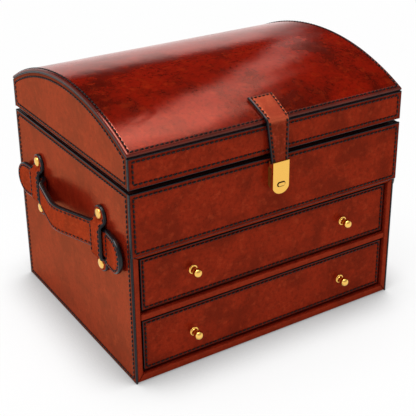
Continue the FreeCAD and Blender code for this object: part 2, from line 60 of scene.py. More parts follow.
X, Y, Z = (Vector(axis) for axis in ((1, 0, 0), (0, 1, 0), (0, 0, 1)))

Point = tuple[float, float]
Lay = Callable[[float, float, float], Vector]
BMesh = bmesh.types.BMesh
Material = bpy.types.Material
Object = bpy.types.Object
Socket = bpy.types.NodeSocket
Tree = bpy.types.NodeTree
RGBA = tuple[float, float, float, float]

# Sizes that several pieces share, in millimetres, the same as the part's
HALF_WIDTH = 150.0
FRONT_Y = -123.0
FRAME_Y = -120.5
BACK_Y = 123.0
BASE_TOP = 192.0
PANEL_BOTTOM = 131.5
SKIN_T = 2.0
SKIN_FOOT = 0.3
LID_BOTTOM = 195.7
LID_WALL = 32.0
DOME_SKIN_T = 3.0
DOME_RISE = 31.5
DOME_R = (BACK_Y ** 2 + DOME_RISE ** 2) / (2 * DOME_RISE)
DOME_Z = LID_BOTTOM + LID_WALL + DOME_RISE - DOME_R
UNDER_DOME_R = DOME_R - DOME_SKIN_T
BUTTON_Z = 167.7
BUTTON_R = 2.05
BUTTON_STRAIGHT = 2.1
STITCH_PITCH = 4.8
# Half a stitch's height as a share of its width
STITCH_HEIGHT = 0.42


class Body(Enum):
    """Bodies of the CAD part that pieces ride on."""

    CASE = "case"
    LID = "lid"
    STRAP = "strap"
    BUTTON = "button"
    DRAWER_UPPER = "drawer_upper"
    DRAWER_LOWER = "drawer_lower"
    HANDLE_LEFT = "handle_left"
    HANDLE_RIGHT = "handle_right"


class Side(Enum):
    """The two ends of the chest."""

    LEFT = -1
    RIGHT = 1


# Colours and shader nodes

def linear(code: str) -> RGBA:
    """Turn an sRGB hex colour into linear RGBA.

    Args:
        code: six hex digits, with or without a leading #.

    Returns:
        Red, green, blue and an alpha of 1.
    """
    parts = [int(code.lstrip("#")[i:i + 2], 16) / 255 for i in (0, 2, 4)]
    parts = [c / 12.92 if c <= 0.04045 else ((c + 0.055) / 1.055) ** 2.4 for c in parts]
    return (parts[0], parts[1], parts[2], 1.0)


def per_metre(size_mm: float) -> float:
    """Return the texture scale whose features are about size_mm across."""
    return 1000.0 / size_mm


def add_node(tree: Tree, kind: str, inputs: Union[dict, Sequence] = (), out: Union[int, str] = 0,
             **settings: object) -> Optional[Socket]:
    """Add a shader node, set its properties, and set or link its inputs.

    Args:
        tree: the node tree.
        kind: the node's type name without the leading ShaderNode.
        inputs: values in the order of the sockets, or a dict from a socket's name or index to its
            value. An output socket as a value is linked in.
        out: name or index of the output that is wanted.
        settings: properties of the node itself.

    Returns:
        The wanted output, or None from a node that ends the tree.
    """
    node = tree.nodes.new("ShaderNode" + kind)
    for name, value in settings.items():
        setattr(node, name, value)
    for socket, value in inputs.items() if isinstance(inputs, dict) else enumerate(inputs):
        if isinstance(value, Socket):
            tree.links.new(value, node.inputs[socket])
        else:
            node.inputs[socket].default_value = value
    return node.outputs[out] if node.outputs else None


def cover(tree: Tree, under: Union[Socket, RGBA], over: Union[Socket, RGBA], share: Sequence) -> Socket:
    """Lay one colour over another as far as a value asks for it.

    Args:
        tree: the node tree.
        under: the colour below.
        over: the colour above.
        share: a value, the two ends of its range, and how much of the upper colour shows at each of
            them, which is nothing and all of it where they are left out.

    Returns:
        The mixed colour.
    """
    amount = add_node(tree, "MapRange", share, interpolation_type="SMOOTHSTEP")
    return add_node(tree, "Mix", {0: amount, 6: under, 7: over}, 2, data_type="RGBA")


def give_way(tree: Tree, first: Socket, second: Socket, share: Sequence) -> Socket:
    """Let one shader give way to another as a value rises.

    Args:
        tree: the node tree.
        first: the shader at the low end.
        second: the shader at the high end.
        share: a value, the two ends of its range, and how much of the second shows at each of them,
            which is nothing and all of it where they are left out.

    Returns:
        The mixed shader.
    """
    amount = add_node(tree, "MapRange", share, interpolation_type="SMOOTHSTEP")
    return add_node(tree, "MixShader", (amount, first, second))


def blank_material(name: str) -> tuple[Material, Tree]:
    """Make a material with an empty node tree.

    Args:
        name: the real material's name.

    Returns:
        The material and its tree.
    """
    material = bpy.data.materials.new(name)
    material.use_nodes = True
    material.node_tree.nodes.clear()
    return material, material.node_tree


@dataclass(frozen=True)
class LeatherFinish:
    """Vegetable tanned leather, dyed through, waxed and polished by hand.

    The dye is cloudy over a few centimetres and the grain has fine pores. The colour is darker
    towards a cut edge, and the stitch grooves are darkened as painted shade. The polish lies in the
    dyed surface, so what it mirrors takes the dye's tint.
    """

    name: str
    colour: str
    deep: str
    pale: str
    roughness: float = 0.45
    shine: float = 0.0
    polish: float = 0.15
    polish_tint: str = "#FF965C"
    # Height in millimetres above which the colour is painted paler as a painted highlight; 0 for none
    painted_highlight_above: float = 0.0
    cloud_mm: float = 32.0
    cloud: float = 0.6
    mottle_mm: float = 3.6
    ripple: float = 0.18
    ripple_height: float = 0.8
    grain_mm: float = 1.1
    grain: float = 0.25
    grain_height: float = 0.22
    edge_mm: float = 5.5
    edge_dark: float = 0.7
    edge_tone: str = "#2A0B08"
    painted_groove_shade: str = "#2A0B07"

    def build(self) -> Material:
        """Make the material.

        Returns:
            The leather, which reads the attributes from_edge and groove of its piece.
        """
        material, tree = blank_material(self.name)
        coords = add_node(tree, "TexCoord", out="Object")
        from_edge, groove = (add_node(tree, "Attribute", out="Fac", attribute_name=name)
                             for name in ("from_edge", "groove"))
        clouds, streaks, mottle, pores = (
            add_node(tree, "TexNoise", {"Vector": coords, "Scale": per_metre(size), "Detail": detail,
                                        "Roughness": rough}, "Fac")
            for size, detail, rough in ((self.cloud_mm, 6.0, 0.64), (self.cloud_mm / 5, 3.0, 0.55),
                                        (self.mottle_mm, 3.0, 0.6), (self.grain_mm, 2.0, 0.6)))
        layers = (
            (self.deep, clouds, 0.36, 0.6, self.cloud, 0.0),
            (self.pale, streaks, 0.5, 0.76, 0.0, 0.45),
            (self.deep, mottle, 0.3, 0.55, 0.45, 0.0),
            (self.deep, pores, 0.3, 0.5, 0.3, 0.0),
            # The colour turns darker towards a cut edge
            (self.edge_tone, from_edge, 0.4, self.edge_mm, self.edge_dark, 0.0),
            # Stitch grooves are darkened as painted shade
            (self.painted_groove_shade, groove, 0.1, 0.9, 0.0, 0.2))
        colour = linear(self.colour)
        for over, *share in layers:
            colour = cover(tree, colour, linear(over), share)
        share = (from_edge, 0.4, 0.7 * self.edge_mm, 0.4 * self.polish, self.polish)
        polish = add_node(tree, "MapRange", share, interpolation_type="SMOOTHSTEP")
        # Above the given height the colour turns toward the pale dye as a painted highlight, and the polish
        # grows stronger
        if self.painted_highlight_above:
            height = add_node(tree, "SeparateXYZ", (coords,), "Z")
            highlight_band = (height, (self.painted_highlight_above - 4.0) * MM, (self.painted_highlight_above + 2.0) * MM)
            colour = cover(tree, colour, linear(self.pale), (*highlight_band, 0.0, 0.6))
            stronger = add_node(tree, "MapRange", (*highlight_band, 1.0, 4.5), interpolation_type="SMOOTHSTEP")
            polish = add_node(tree, "Math", (polish, stronger), operation="MULTIPLY")
        grain = add_node(tree, "Bump", {"Strength": self.grain, "Distance": self.grain_height * MM,
                                        "Height": pores})
        relief = add_node(tree, "Bump", {"Strength": self.ripple, "Distance": self.ripple_height * MM,
                                         "Height": streaks, "Normal": grain})
        share = (clouds, 0.3, 0.7, self.roughness + 0.05, self.roughness - 0.04)
        surface = {"Roughness": add_node(tree, "MapRange", share, interpolation_type="SMOOTHSTEP"),
                   "Normal": relief}
        body = add_node(tree, "BsdfPrincipled", {"Base Color": colour, "Specular IOR Level": self.shine,
                                                 **surface})
        gloss = add_node(tree, "BsdfAnisotropic", {"Color": linear(self.polish_tint), **surface})
        add_node(tree, "OutputMaterial", (add_node(tree, "MixShader", (polish, body, gloss)),))
        return material


@dataclass(frozen=True)
class PlainFinish:
    """A material of one colour with a fine surface, such as metal, thread, wood edge or dyed edge."""

    name: str
    colour: str
    roughness: float
    metallic: float = 0.0
    shine: float = 0.5
    speckle: str = ""
    speckle_mm: float = 1.5
    bump: float = 0.0
    nap: float = 0.3
    sheen: float = 0.0
    seam: str = ""

    def build(self) -> Material:
        """Make the material.

        Returns:
            The new material.
        """
        material, tree = blank_material(self.name)
        coords = add_node(tree, "TexCoord", out="Object")
        spots = add_node(tree, "TexNoise", {"Vector": coords, "Scale": per_metre(self.speckle_mm),
                                            "Detail": 3.0, "Roughness": 0.6}, "Fac")
        colour = linear(self.colour)
        if self.speckle:
            colour = cover(tree, colour, linear(self.speckle), (spots, 0.35, 0.65, 0.0, 0.4))
        if self.seam:
            away = self._from_seam(tree, coords)
            colour = cover(tree, colour, linear(self.seam), (away, 0.42 * MM, 0.62 * MM, 1.0, 0.0))
        inputs = {"Base Color": colour, "Metallic": self.metallic, "Roughness": self.roughness,
                  "Specular IOR Level": self.shine, "Sheen Weight": self.sheen}
        if self.bump:
            inputs["Normal"] = add_node(tree, "Bump", {"Strength": self.bump, "Distance": self.nap * MM,
                                                       "Height": spots})
        add_node(tree, "OutputMaterial", (add_node(tree, "BsdfPrincipled", inputs),))
        return material

    def _from_seam(self, tree: Tree, coords: Socket) -> Socket:
        """Measure how far a place on the clasp's plate lies from the seam round its button.

        Args:
            tree: the node tree.
            coords: the piece's coordinates.

        Returns:
            The distance in metres.
        """
        x, z = (add_node(tree, "SeparateXYZ", (coords,), axis) for axis in "XZ")
        run = add_node(tree, "Math", (x,), operation="ABSOLUTE")
        run = add_node(tree, "Math", (run, BUTTON_STRAIGHT * MM), operation="SUBTRACT")
        run = add_node(tree, "Math", (run, 0.0), operation="MAXIMUM")
        rise = add_node(tree, "Math", (z, BUTTON_Z * MM), operation="SUBTRACT")
        both = add_node(tree, "CombineXYZ", (run, rise))
        length = add_node(tree, "VectorMath", (both,), "Value", operation="LENGTH")
        off = add_node(tree, "Math", (length, BUTTON_R * MM), operation="SUBTRACT")
        return add_node(tree, "Math", (off,), operation="ABSOLUTE")


FINISHES = {
    # Bridle leather of the dome: deep red, the glossiest piece
    "dome": LeatherFinish("bridle leather, dome", "#801406", "#430802", "#982A0E", roughness=0.1, shine=0.12,
                          polish_tint="#FF8668", cloud=0.85, cloud_mm=46.0, ripple=0.08, grain=0.2,
                          edge_mm=7.0),
    # The same hide on the front, where the dye is even
    "front": LeatherFinish("bridle leather, front", "#86210F", "#4C0E08", "#A2391F", roughness=0.24,
                           polish=0.055, polish_tint="#FF7048", cloud=0.65, edge_mm=7.0, edge_dark=0.42),
    # The same hide on the ends and back, a lighter cut
    "side": LeatherFinish("bridle leather, ends", "#82200F", "#561008", "#9A341A", roughness=0.2,
                          polish_tint="#FF9868", cloud_mm=48.0, edge_mm=7.0),
    # The clasp strap's top is painted paler above a height as a painted highlight, and its polish is stronger
    # there
    "strap": LeatherFinish("strap leather", "#761B0D", "#4E1007", "#B44A34", roughness=0.2, polish=0.055,
                           polish_tint="#FF8456", painted_highlight_above=228.0, cloud_mm=18.0, ripple=0.14,
                           edge_mm=3.0),
    # The carrying straps are duller than the clasp strap
    "carry": LeatherFinish("harness leather", "#90250E", "#601508", "#AE4624", roughness=0.28, polish=0.1,
                           polish_tint="#FF8650", cloud_mm=18.0, ripple=0.12, edge_mm=3.0),
    "frame": LeatherFinish("thin binding leather", "#84200E", "#5E1208", "#9A3018", roughness=0.16,
                           polish=0.07, polish_tint="#FF7A50", cloud_mm=20.0, edge_mm=1.4, edge_dark=0.3),
    # Edges are dyed black and rubbed with wax until they shine
    "edge": PlainFinish("burnished leather edge", "#08070A", 0.26, shine=0.3, speckle="#141118",
                        speckle_mm=3.0),
    "thread": PlainFinish("waxed linen thread", "#0B0B0D", 0.4, shine=0.15),
    # Turned, polished and lacquered
    "brass": PlainFinish("polished brass", "#F8C466", 0.12, metallic=1.0, speckle="#F4BC5A", speckle_mm=6.0),
    # Rubbed dull where hands and straps touch it
    "worn_brass": PlainFinish("worn brass", "#F8C66A", 0.34, metallic=1.0),
    # The lock body sits in the plate's shadow: its brass is painted darker as painted shade, and it is rough
    "dull_brass": PlainFinish("tarnished brass", "#B88A3C", 0.5, metallic=1.0, speckle="#8A6428",
                              speckle_mm=3.0),
    # Dirt and tarnish have settled in the seam round the clasp's button
    "clasp_brass": PlainFinish("polished brass, clasp", "#F4BE5C", 0.16, metallic=1.0,
                               seam="#241503"),
    "suede": PlainFinish("tan suede", "#8A6A4E", 0.95, shine=0.1, speckle="#7A5A40", speckle_mm=4.0, bump=0.3,
                         sheen=0.35),
    "binding": PlainFinish("dark goat leather", "#3A1410", 0.5, shine=0.25, speckle="#4C1D14", speckle_mm=1.2,
                           bump=0.2),
    "wood": PlainFinish("birch plywood", "#B58E62", 0.6, shine=0.3, speckle="#A37B50", speckle_mm=7.0),
    "felt": PlainFinish("black wool felt", "#171415", 1.0, shine=0.05, speckle="#221D1E", speckle_mm=0.8,
                        bump=0.5, sheen=0.3)}


@dataclass(frozen=True)
class Palette:
    """The chest's materials, one for each finish."""

    dome: Material
    front: Material
    side: Material
    strap: Material
    carry: Material
    frame: Material
    edge: Material
    thread: Material
    brass: Material
    worn_brass: Material
    dull_brass: Material
    clasp_brass: Material
    suede: Material
    binding: Material
    wood: Material
    felt: Material


# Paths and patterns

def arc_points(centre: Point, radius: float, start: float, end: float, steps: int) -> list[Point]:
    """Return points on an arc.

    Args:
        centre: the arc's centre.
        radius: its radius.
        start: first angle in degrees.
        end: last angle in degrees.
        steps: number of chords.

    Returns:
        steps + 1 points from start to end.
    """
    angles = [math.radians(start + (end - start) * i / steps) for i in range(steps + 1)]
    return [(centre[0] + radius * math.cos(a), centre[1] + radius * math.sin(a)) for a in angles]


def rounded_path(points: Sequence[Point], radii: Sequence[float], steps: int) -> list[Point]:
    """Round each inner corner of a path with an arc.

    Args:
        points: the path's corners.
        radii: one radius for each inner corner.
        steps: chords of each arc.

    Returns:
        The points of the rounded path.
    """
    result = [points[0]]
    for before, corner, after, radius in zip(points, points[1:], points[2:], radii):
        c = Vector(corner)
        back = (Vector(before) - c).normalized()
        ahead = (Vector(after) - c).normalized()
        half = back.angle(ahead) / 2
        reach = radius / math.tan(half)
        centre = c + (back + ahead).normalized() * (radius / math.sin(half))
        first, last = c + back * reach - centre, c + ahead * reach - centre
        result += [tuple(centre + first.slerp(last, i / steps) * radius) for i in range(steps + 1)]
    return result + [points[-1]]


def rectangle(s0: float, s1: float, t0: float, t1: float) -> list[Point]:
    """Return the corners of a rectangle, in order."""
    return [(s0, t0), (s1, t0), (s1, t1), (s0, t1)]


def distance_to(points: np.ndarray, path: Sequence[Point], closed: bool) -> np.ndarray:
    """Return each point's distance to a path.

    Args:
        points: array of two columns.
        path: the path's corners.
        closed: true if the last corner joins the first.

    Returns:
        One distance for each point.
    """
    corners = np.array(path, float)
    ends = np.roll(corners, -1, axis=0) if closed else corners[1:]
    starts = corners if closed else corners[:-1]
    best = np.full(len(points), 1e9)
    for a, b in zip(starts, ends):
        d = b - a
        length = float(d @ d)
        if length < 1e-12:
            continue
        k = np.clip(((points - a) @ d) / length, 0, 1)
        best = np.minimum(best, np.linalg.norm(points - a - k[:, None] * d, axis=1))
    return best


@dataclass(frozen=True)
class StitchLine:
    """A row of saddle stitches on a pattern."""

    path: tuple[Point, ...]
    closed: bool = False
    pitch: float = STITCH_PITCH
    length: float = 3.9
    width: float = 1.9

    def places(self) -> list[tuple[Point, Point]]:
        """Space the stitches along the row.

        Returns:
            The middle and the unit direction of each stitch on the pattern.
        """
        corners = list(self.path) + ([self.path[0]] if self.closed else [])
        lengths = [math.dist(a, b) for a, b in zip(corners, corners[1:])]
        total = sum(lengths)
        count = max(1, round(total / self.pitch))
        step = total / count
        places = []
        for index in range(count):
            where = (index + 0.5) * step
            for a, b, length in zip(corners, corners[1:], lengths):
                if where <= length or (a, b) == (corners[-2], corners[-1]):
                    k = where / length
                    direction = ((b[0] - a[0]) / length, (b[1] - a[1]) / length)
                    places.append(((a[0] + (b[0] - a[0]) * k, a[1] + (b[1] - a[1]) * k), direction))
                    break
                where -= length
        return places


def sewn_rectangle(s0: float, s1: float, t0: float, t1: float, inset: float,
                   rise: float = 0.0) -> tuple[list[Point], tuple[StitchLine, ...]]:
    """Return a rectangle's outline and the stitch row inside it.

    Args:
        s0: its low side in the first coordinate.
        s1: its high side.
        t0: its low side in the second coordinate.
        t1: its high side.
        inset: the row's distance from each side.
        rise: how much closer the row lies to the last side.

    Returns:
        The outline and a tuple that holds the row.
    """
    row = rectangle(s0 + inset, s1 - inset, t0 + inset, t1 - inset + rise)
    return rectangle(s0, s1, t0, t1), (StitchLine(tuple(row), True),)


@dataclass(frozen=True)
class Crease:
    """A line where the leather was bent or dented."""

    path: tuple[Point, ...]
    depth: float
    width: float


def place_piece(obj: Object, body: Body) -> None:
    """Let a finished piece ride on its body."""
    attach(obj, body.value)


def mesh_object(name: str, bm: BMesh, materials: Sequence[Material], sharp: float = 40.0) -> Object:
    """Turn a bmesh in metres into a smooth shaded object.

    Args:
        name: the piece's name.
        bm: the mesh, which is freed.
        materials: its materials in order.
        sharp: angle in degrees above which an edge stays sharp.

    Returns:
        The object, linked to the scene.
    """
    mesh = bpy.data.meshes.new(name)
    bm.normal_update()
    bm.to_mesh(mesh)
    bm.free()
    for material in materials:
        mesh.materials.append(material)
    mesh.polygons.foreach_set("use_smooth", [True] * len(mesh.polygons))
    mesh.set_sharp_from_angle(angle=math.radians(sharp))
    obj = bpy.data.objects.new(name, mesh)
    bpy.context.scene.collection.objects.link(obj)
    return obj


@dataclass
class LeatherCut:
    """A piece of leather cut to a flat outline, edged, grooved for stitches and laid on the chest.

    The outline is in millimetres. Heights are measured from the leather's face. A negative edge_band
    leaves the edge in the leather's own colour.
    """

    name: str
    outline: list[Point]
    lay: Lay
    thickness: float
    material: Material
    palette: Palette
    body: Optional[Body]
    slot: str = "bridle_leather"
    stands_for: tuple[str, ...] = ()
    stitches: tuple[StitchLine, ...] = ()
    stitch_inset: float = 4.0
    edge_round: float = 0.9
    edge_band: float = 0.75
    cell: float = 6.0
    both_sides: bool = False
    wave: float = 0.15
    wave_mm: float = 45.0
    groove_depth: float = 0.5
    groove_half: float = 0.95
    creases: tuple[Crease, ...] = ()

    def build(self) -> Object:
        """Make the leather and its thread.

        Returns:
            The leather's object. The thread is a second object that moves with it.
        """
        bm = self._flat_mesh()
        flat = np.array([v.co[:] for v in bm.verts])
        from_edge = distance_to(flat[:, :2], self.outline, True)
        groove = self._groove(flat[:, :2])
        heights = self._relief(flat[:, :2], from_edge, groove)
        if self.edge_band >= 0:
            for face in bm.faces:
                face.material_index = int(self._is_edge(face, from_edge))
        edge_layer = bm.verts.layers.float.new("from_edge")
        groove_layer = bm.verts.layers.float.new("groove")
        for index, vert in enumerate(bm.verts):
            vert[edge_layer] = from_edge[index]
            vert[groove_layer] = groove[index]
            s, t, h = flat[index]
            top = h > -0.5 * self.thickness
            side = heights[index] if top or not self.both_sides else -heights[index]
            vert.co = self.lay(s, t, h + (side if top or self.both_sides else 0.0))
        bmesh.ops.recalc_face_normals(bm, faces=bm.faces[:])
        obj = mesh_object(self.name, bm, [self.material, self.palette.edge])
        if self.stands_for:
            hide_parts(*self.stands_for)
        thread = self._thread() if self.stitches else None
        for piece in (obj, thread):
            if piece and self.body:
                place_piece(piece, self.body)
        return obj

    def _flat_mesh(self) -> BMesh:
        """Make the flat pattern with its thickness, edge and grid.

        Returns:
            The mesh in millimetres, with the leather's face at height 0.
        """
        bm = bmesh.new()
        half = self.thickness / 2 if self.both_sides else self.thickness
        base = bm.faces.new([bm.verts.new((s, t, -half)) for s, t in self.outline])
        turns = zip(self.outline, self.outline[1:] + self.outline[:1])
        if base.normal.z < 0 or sum(a[0] * b[1] - b[0] * a[1] for a, b in turns) < 0:
            bmesh.ops.reverse_faces(bm, faces=[base])
        # The first face stays, as a panel's underside or the hidden middle of a strap
        raised = bmesh.ops.extrude_face_region(bm, geom=[base])
        face = next(item for item in raised["geom"] if isinstance(item, bmesh.types.BMFace))
        for vert in face.verts:
            vert.co.z = -self.edge_round
        done = 0.0
        for inset, height in self._rings():
            bmesh.ops.inset_region(bm, faces=[face], thickness=inset - done, use_even_offset=True,
                                   use_boundary=True)
            for vert in face.verts:
                vert.co.z = height
            done = inset
        if self.both_sides:
            for vert in bm.verts:
                vert.co.z += half
            bmesh.ops.mirror(bm, geom=bm.verts[:] + bm.edges[:] + bm.faces[:], axis="Z", merge_dist=0.001)
            for vert in bm.verts:
                vert.co.z -= half
        self._cut_grid(bm)
        return bm

    def _cut_grid(self, bm: BMesh) -> None:
        """Cut the pattern into cells, so that it can bend.

        Args:
            bm: the flat pattern.
        """
        for axis, normal in ((0, X), (1, Y)):
            values = [p[axis] for p in self.outline]
            low, high = min(values), max(values)
            count = max(1, round((high - low) / self.cell))
            for index in range(1, count):
                place = low + (high - low) * index / count
                bmesh.ops.bisect_plane(bm, geom=bm.verts[:] + bm.edges[:] + bm.faces[:], dist=0.02,
                                       plane_co=normal * place, plane_no=normal)

    def _rings(self) -> list[Point]:
        """Plan the edge's rounding and the stitch groove.

        Returns:
            The inset and height of each ring inside the outline.
        """
        r = self.edge_round
        rings = [(r * (1 - math.cos(a)), r * (math.sin(a) - 1)) for a in (0.5, 1.0, math.pi / 2)]
        if self.stitches:
            a = self.stitch_inset
            rings += [(a + d, 0.0) for d in (-1.8, -1.2, -0.6, 0.0, 0.6, 1.2, 1.8) if a + d > r + 0.1]
        return rings

    def _groove(self, points: np.ndarray) -> np.ndarray:
        """Find the stitch grooves.

        Args:
            points: places on the pattern.

        Returns:
            How deep in a groove each place lies, from 0 to 1.
        """
        groove = np.zeros(len(points))
        for line in self.stitches:
            d = distance_to(points, line.path, line.closed)
            groove = np.maximum(groove, np.clip(1.25 - d / self.groove_half, 0, 1))
        return groove

    def _relief(self, points: np.ndarray, from_edge: np.ndarray, groove: np.ndarray) -> np.ndarray:
        """Work out the leather's waves, grooves and creases.

        Args:
            points: places on the pattern.
            from_edge: their distances from the cut edge.
            groove: how deep in a stitch groove they lie.

        Returns:
            The height of each place over the flat face.
        """
        heights = np.zeros(len(points))
        seed = float(sum(ord(letter) for letter in self.name) % 97)
        for index, (s, t) in enumerate(points):
            where = Vector((s / self.wave_mm, t / self.wave_mm, seed))
            heights[index] = self.wave * noise.noise(where) + 0.35 * self.wave * noise.noise(where * 3.1)
        heights *= np.clip(from_edge / 10.0, 0, 1)
        heights -= self.groove_depth * groove
        for crease in self.creases:
            d = distance_to(points, crease.path, False)
            heights -= crease.depth * np.exp(-(d / crease.width) ** 2)
            heights += 0.45 * crease.depth * np.exp(-((d - 2.1 * crease.width) / crease.width) ** 2)
        return heights

    def _is_edge(self, face: bmesh.types.BMFace, from_edge: np.ndarray) -> bool:
        """Tell whether a face belongs to the burnished edge.

        Args:
            face: the face on the flat pattern.
            from_edge: the distance of each vertex from the cut edge.

        Returns:
            True for a face of the edge.
        """
        return bool(np.mean([from_edge[v.index] for v in face.verts]) < self.edge_band
                    or all(v.co.z < -self.thickness + 0.01 for v in face.verts) and not self.both_sides)

    def _thread(self) -> Object:
        """Make every stitch of the piece. Saddle stitches lie a little slanted.

        Returns:
            The thread's object.
        """
        bm = bmesh.new()
        slant = math.radians(9)
        cos, sin = math.cos(slant), math.sin(slant)
        for line in self.stitches:
            for place, (ds, dt) in line.places():
                add_stitch(bm, self.lay, place, (ds * cos - dt * sin, ds * sin + dt * cos), line)
        return mesh_object("thread_" + self.name, bm, [self.palette.thread], 180.0)


def add_stitch(bm: BMesh, lay: Lay, place: Point, direction: Point, line: StitchLine) -> None:
    """Add one stitch, a short fat strand that lies in the groove.

    Args:
        bm: mesh that takes the stitch, in metres.
        lay: bends the pattern onto the chest.
        place: the stitch's middle on the pattern.
        direction: its unit direction on the pattern.
        line: the row, which gives its length and width.
    """
    s, t = place
    middle = lay(s, t, 0.0)
    along = (lay(s + direction[0], t + direction[1], 0.0) - middle).normalized()
    up = (lay(s, t, 1.0) - middle).normalized()
    across = up.cross(along).normalized()
    up = along.cross(across)
    turn = Matrix((along, across, up)).transposed().to_4x4()
    scale = Matrix.Diagonal((line.length / 2 * MM, line.width / 2 * MM, line.width * STITCH_HEIGHT * MM, 1.0))
    turn_pole = Matrix.Rotation(math.pi / 2, 4, "Y")
    bmesh.ops.create_uvsphere(bm, u_segments=6, v_segments=5, radius=1.0,
                              matrix=Matrix.Translation(middle) @ turn @ scale @ turn_pole)


# Ways to lay a pattern on the chest

def lay_flat(across: Vector, up: Vector, out: Vector, start: float) -> Lay:
    """Lay a pattern on a flat face.

    Args:
        across: direction of the pattern's first coordinate.
        up: direction of its second coordinate.
        out: the face's outward normal.
        start: the face's distance from the origin along out.

    Returns:
        Function from a place on the pattern to one on the chest in metres.
    """
    return lambda s, t, h: (across * s + up * t + out * (start + h)) * MM


def lay_front(y: float) -> Lay:
    """Lay a pattern on a wall that faces the front: first coordinate X, second Z."""
    return lay_flat(X, Z, -Y, -y)


def lay_end(side: Side) -> Lay:
    """Lay a pattern on an end of the chest: first coordinate Y, second Z."""
    return lay_flat(Y, Z, X * side.value, HALF_WIDTH)


def lay_dome(radius: float, out: float = 1.0) -> Lay:
    """Lay a pattern round the dome: first coordinate X, second the arc length from the crown.

    Args:
        radius: distance from the dome's axis to the pattern's face.
        out: 1 for a face that looks outward, -1 for one that looks inward.

    Returns:
        Function from a place on the pattern to one on the chest in metres.
    """
    def lay(s: float, t: float, h: float) -> Vector:
        """Bend one place of the pattern round the dome."""
        around = Vector((0.0, math.sin(t / DOME_R), math.cos(t / DOME_R)))
        return (X * s + Z * DOME_Z + around * (radius + out * h)) * MM
    return lay


@dataclass
class Track:
    """A bent middle line that a strap follows, as a height over a straight axis."""

    points: list[Point]
    step: float = 1.2

    def beside(self, where: float, reach: float) -> Vector:
        """Find a place beside the line.

        Args:
            where: coordinate along the axis, the second of each point.
            reach: distance from the line, along its normal.

        Returns:
            The place's height over the axis and its coordinate along the axis.
        """
        axis = [p[1] for p in self.points]
        rise = [p[0] for p in self.points]
        before, height, after = (float(np.interp(where + d, axis, rise))
                                 for d in (-self.step, 0.0, self.step))
        normal = Vector((1.0, -(after - before) / (2 * self.step))).normalized()
        return Vector((height, where)) + normal * reach


def lay_bent(side: Side, track: Track, thickness: float, axes: tuple[Vector, Vector],
             start: float = 0.0) -> Lay:
    """Lay a pattern along a bent strap on an end of the chest.

    Args:
        side: the end.
        track: the strap's middle line.
        thickness: the strap's thickness.
        axes: directions of the pattern's first and second coordinate.
        start: where the second coordinate starts.

    Returns:
        Function from a place on the pattern to one on the chest in metres.
    """
    along, across = axes

    def lay(s: float, t: float, h: float) -> Vector:
        """Bend one place of the pattern along the strap."""
        place = track.beside(s, h + thickness / 2)
        return (X * (side.value * place.x) + along * place.y + across * (start + t)) * MM
    return lay


@dataclass
class StrapTrack:
    """The clasp strap's middle line, from its end on the dome down to the plate."""

    thickness: float = 3.6
    fold_y: float = -125.1
    fold_z: float = 225.0
    reach_y: float = -97.0
    end: Point = (-129.3, 185.0)
    points: list[Point] = field(default_factory=list)
    lengths: list[float] = field(default_factory=list)

    def __post_init__(self) -> None:
        """Lead the line over the dome, round the lid's front edge and down the front."""
        radius = DOME_R + self.thickness / 2
        start = math.degrees(math.asin(-self.reach_y / radius))
        end = math.degrees(math.asin(-(self.fold_y + 3.0) / radius))
        top = [(-radius * math.sin(math.radians(a)), DOME_Z + radius * math.cos(math.radians(a)))
               for a in np.linspace(start, end, 14)]
        corner = (self.fold_y, DOME_Z + math.sqrt(radius ** 2 - self.fold_y ** 2))
        bend = rounded_path([top[-1], corner, (self.fold_y, self.fold_z), self.end], [2.6, 8.0], 7)
        self.points = top[:-1] + bend
        self.lengths = [0.0]
        for a, b in zip(self.points, self.points[1:]):
            self.lengths.append(self.lengths[-1] + math.dist(a, b))

    @property
    def total(self) -> float:
        """The strap's length in millimetres."""
        return self.lengths[-1]

    def _point(self, where: float) -> Vector:
        """Return the Y and Z of the middle line at a length from its start."""
        return Vector([float(np.interp(where, self.lengths, [p[i] for p in self.points])) for i in (0, 1)])

    def lay(self, s: float, t: float, h: float) -> Vector:
        """Bend one place of the strap's pattern.

        Args:
            s: length along the strap from its start.
            t: place across the strap, along X.
            h: height over the strap's face.

        Returns:
            The place on the chest in metres.
        """
        low, high = max(0.0, s - 0.6), min(self.total, s + 0.6)
        along = (self._point(high) - self._point(low)).normalized()
        place = self._point(s) + Vector((along.y, -along.x)) * (h + self.thickness / 2)
        return Vector((t, place.x, place.y)) * MM


# Sub-assemblies

@dataclass
class CaseLeather:
    """Leather panels of the chest's base."""

    palette: Palette
    front_thickness: float = 2.5
    inset: float = 4.0

    def build(self) -> None:
        """Make the panels of the front, the ends and the back."""
        p = self.palette
        inset = self.inset
        outline, rows = sewn_rectangle(-HALF_WIDTH, HALF_WIDTH, PANEL_BOTTOM, BASE_TOP, inset)
        LeatherCut("front_panel", outline, lay_front(FRONT_Y), self.front_thickness, p.front, p, Body.CASE,
                   stands_for=("tray_front_skin",), stitches=rows, wave=0.2).build()
        outline, rows = sewn_rectangle(FRAME_Y, BACK_Y - SKIN_T, SKIN_FOOT, BASE_TOP, inset)
        for side in Side:
            name = side.name.lower()
            LeatherCut("end_panel_" + name, outline, lay_end(side), SKIN_T, p.side, p, Body.CASE,
                       stands_for=("side_skin_" + name,), stitches=rows, wave=0.22).build()
        outline, rows = sewn_rectangle(-HALF_WIDTH, HALF_WIDTH, SKIN_FOOT, BASE_TOP, inset)
        LeatherCut("back_panel", outline, lay_flat(X, Z, Y, BACK_Y), SKIN_T, p.side, p, Body.CASE,
                   stands_for=("back_skin",), stitches=rows, wave=0.22).build()


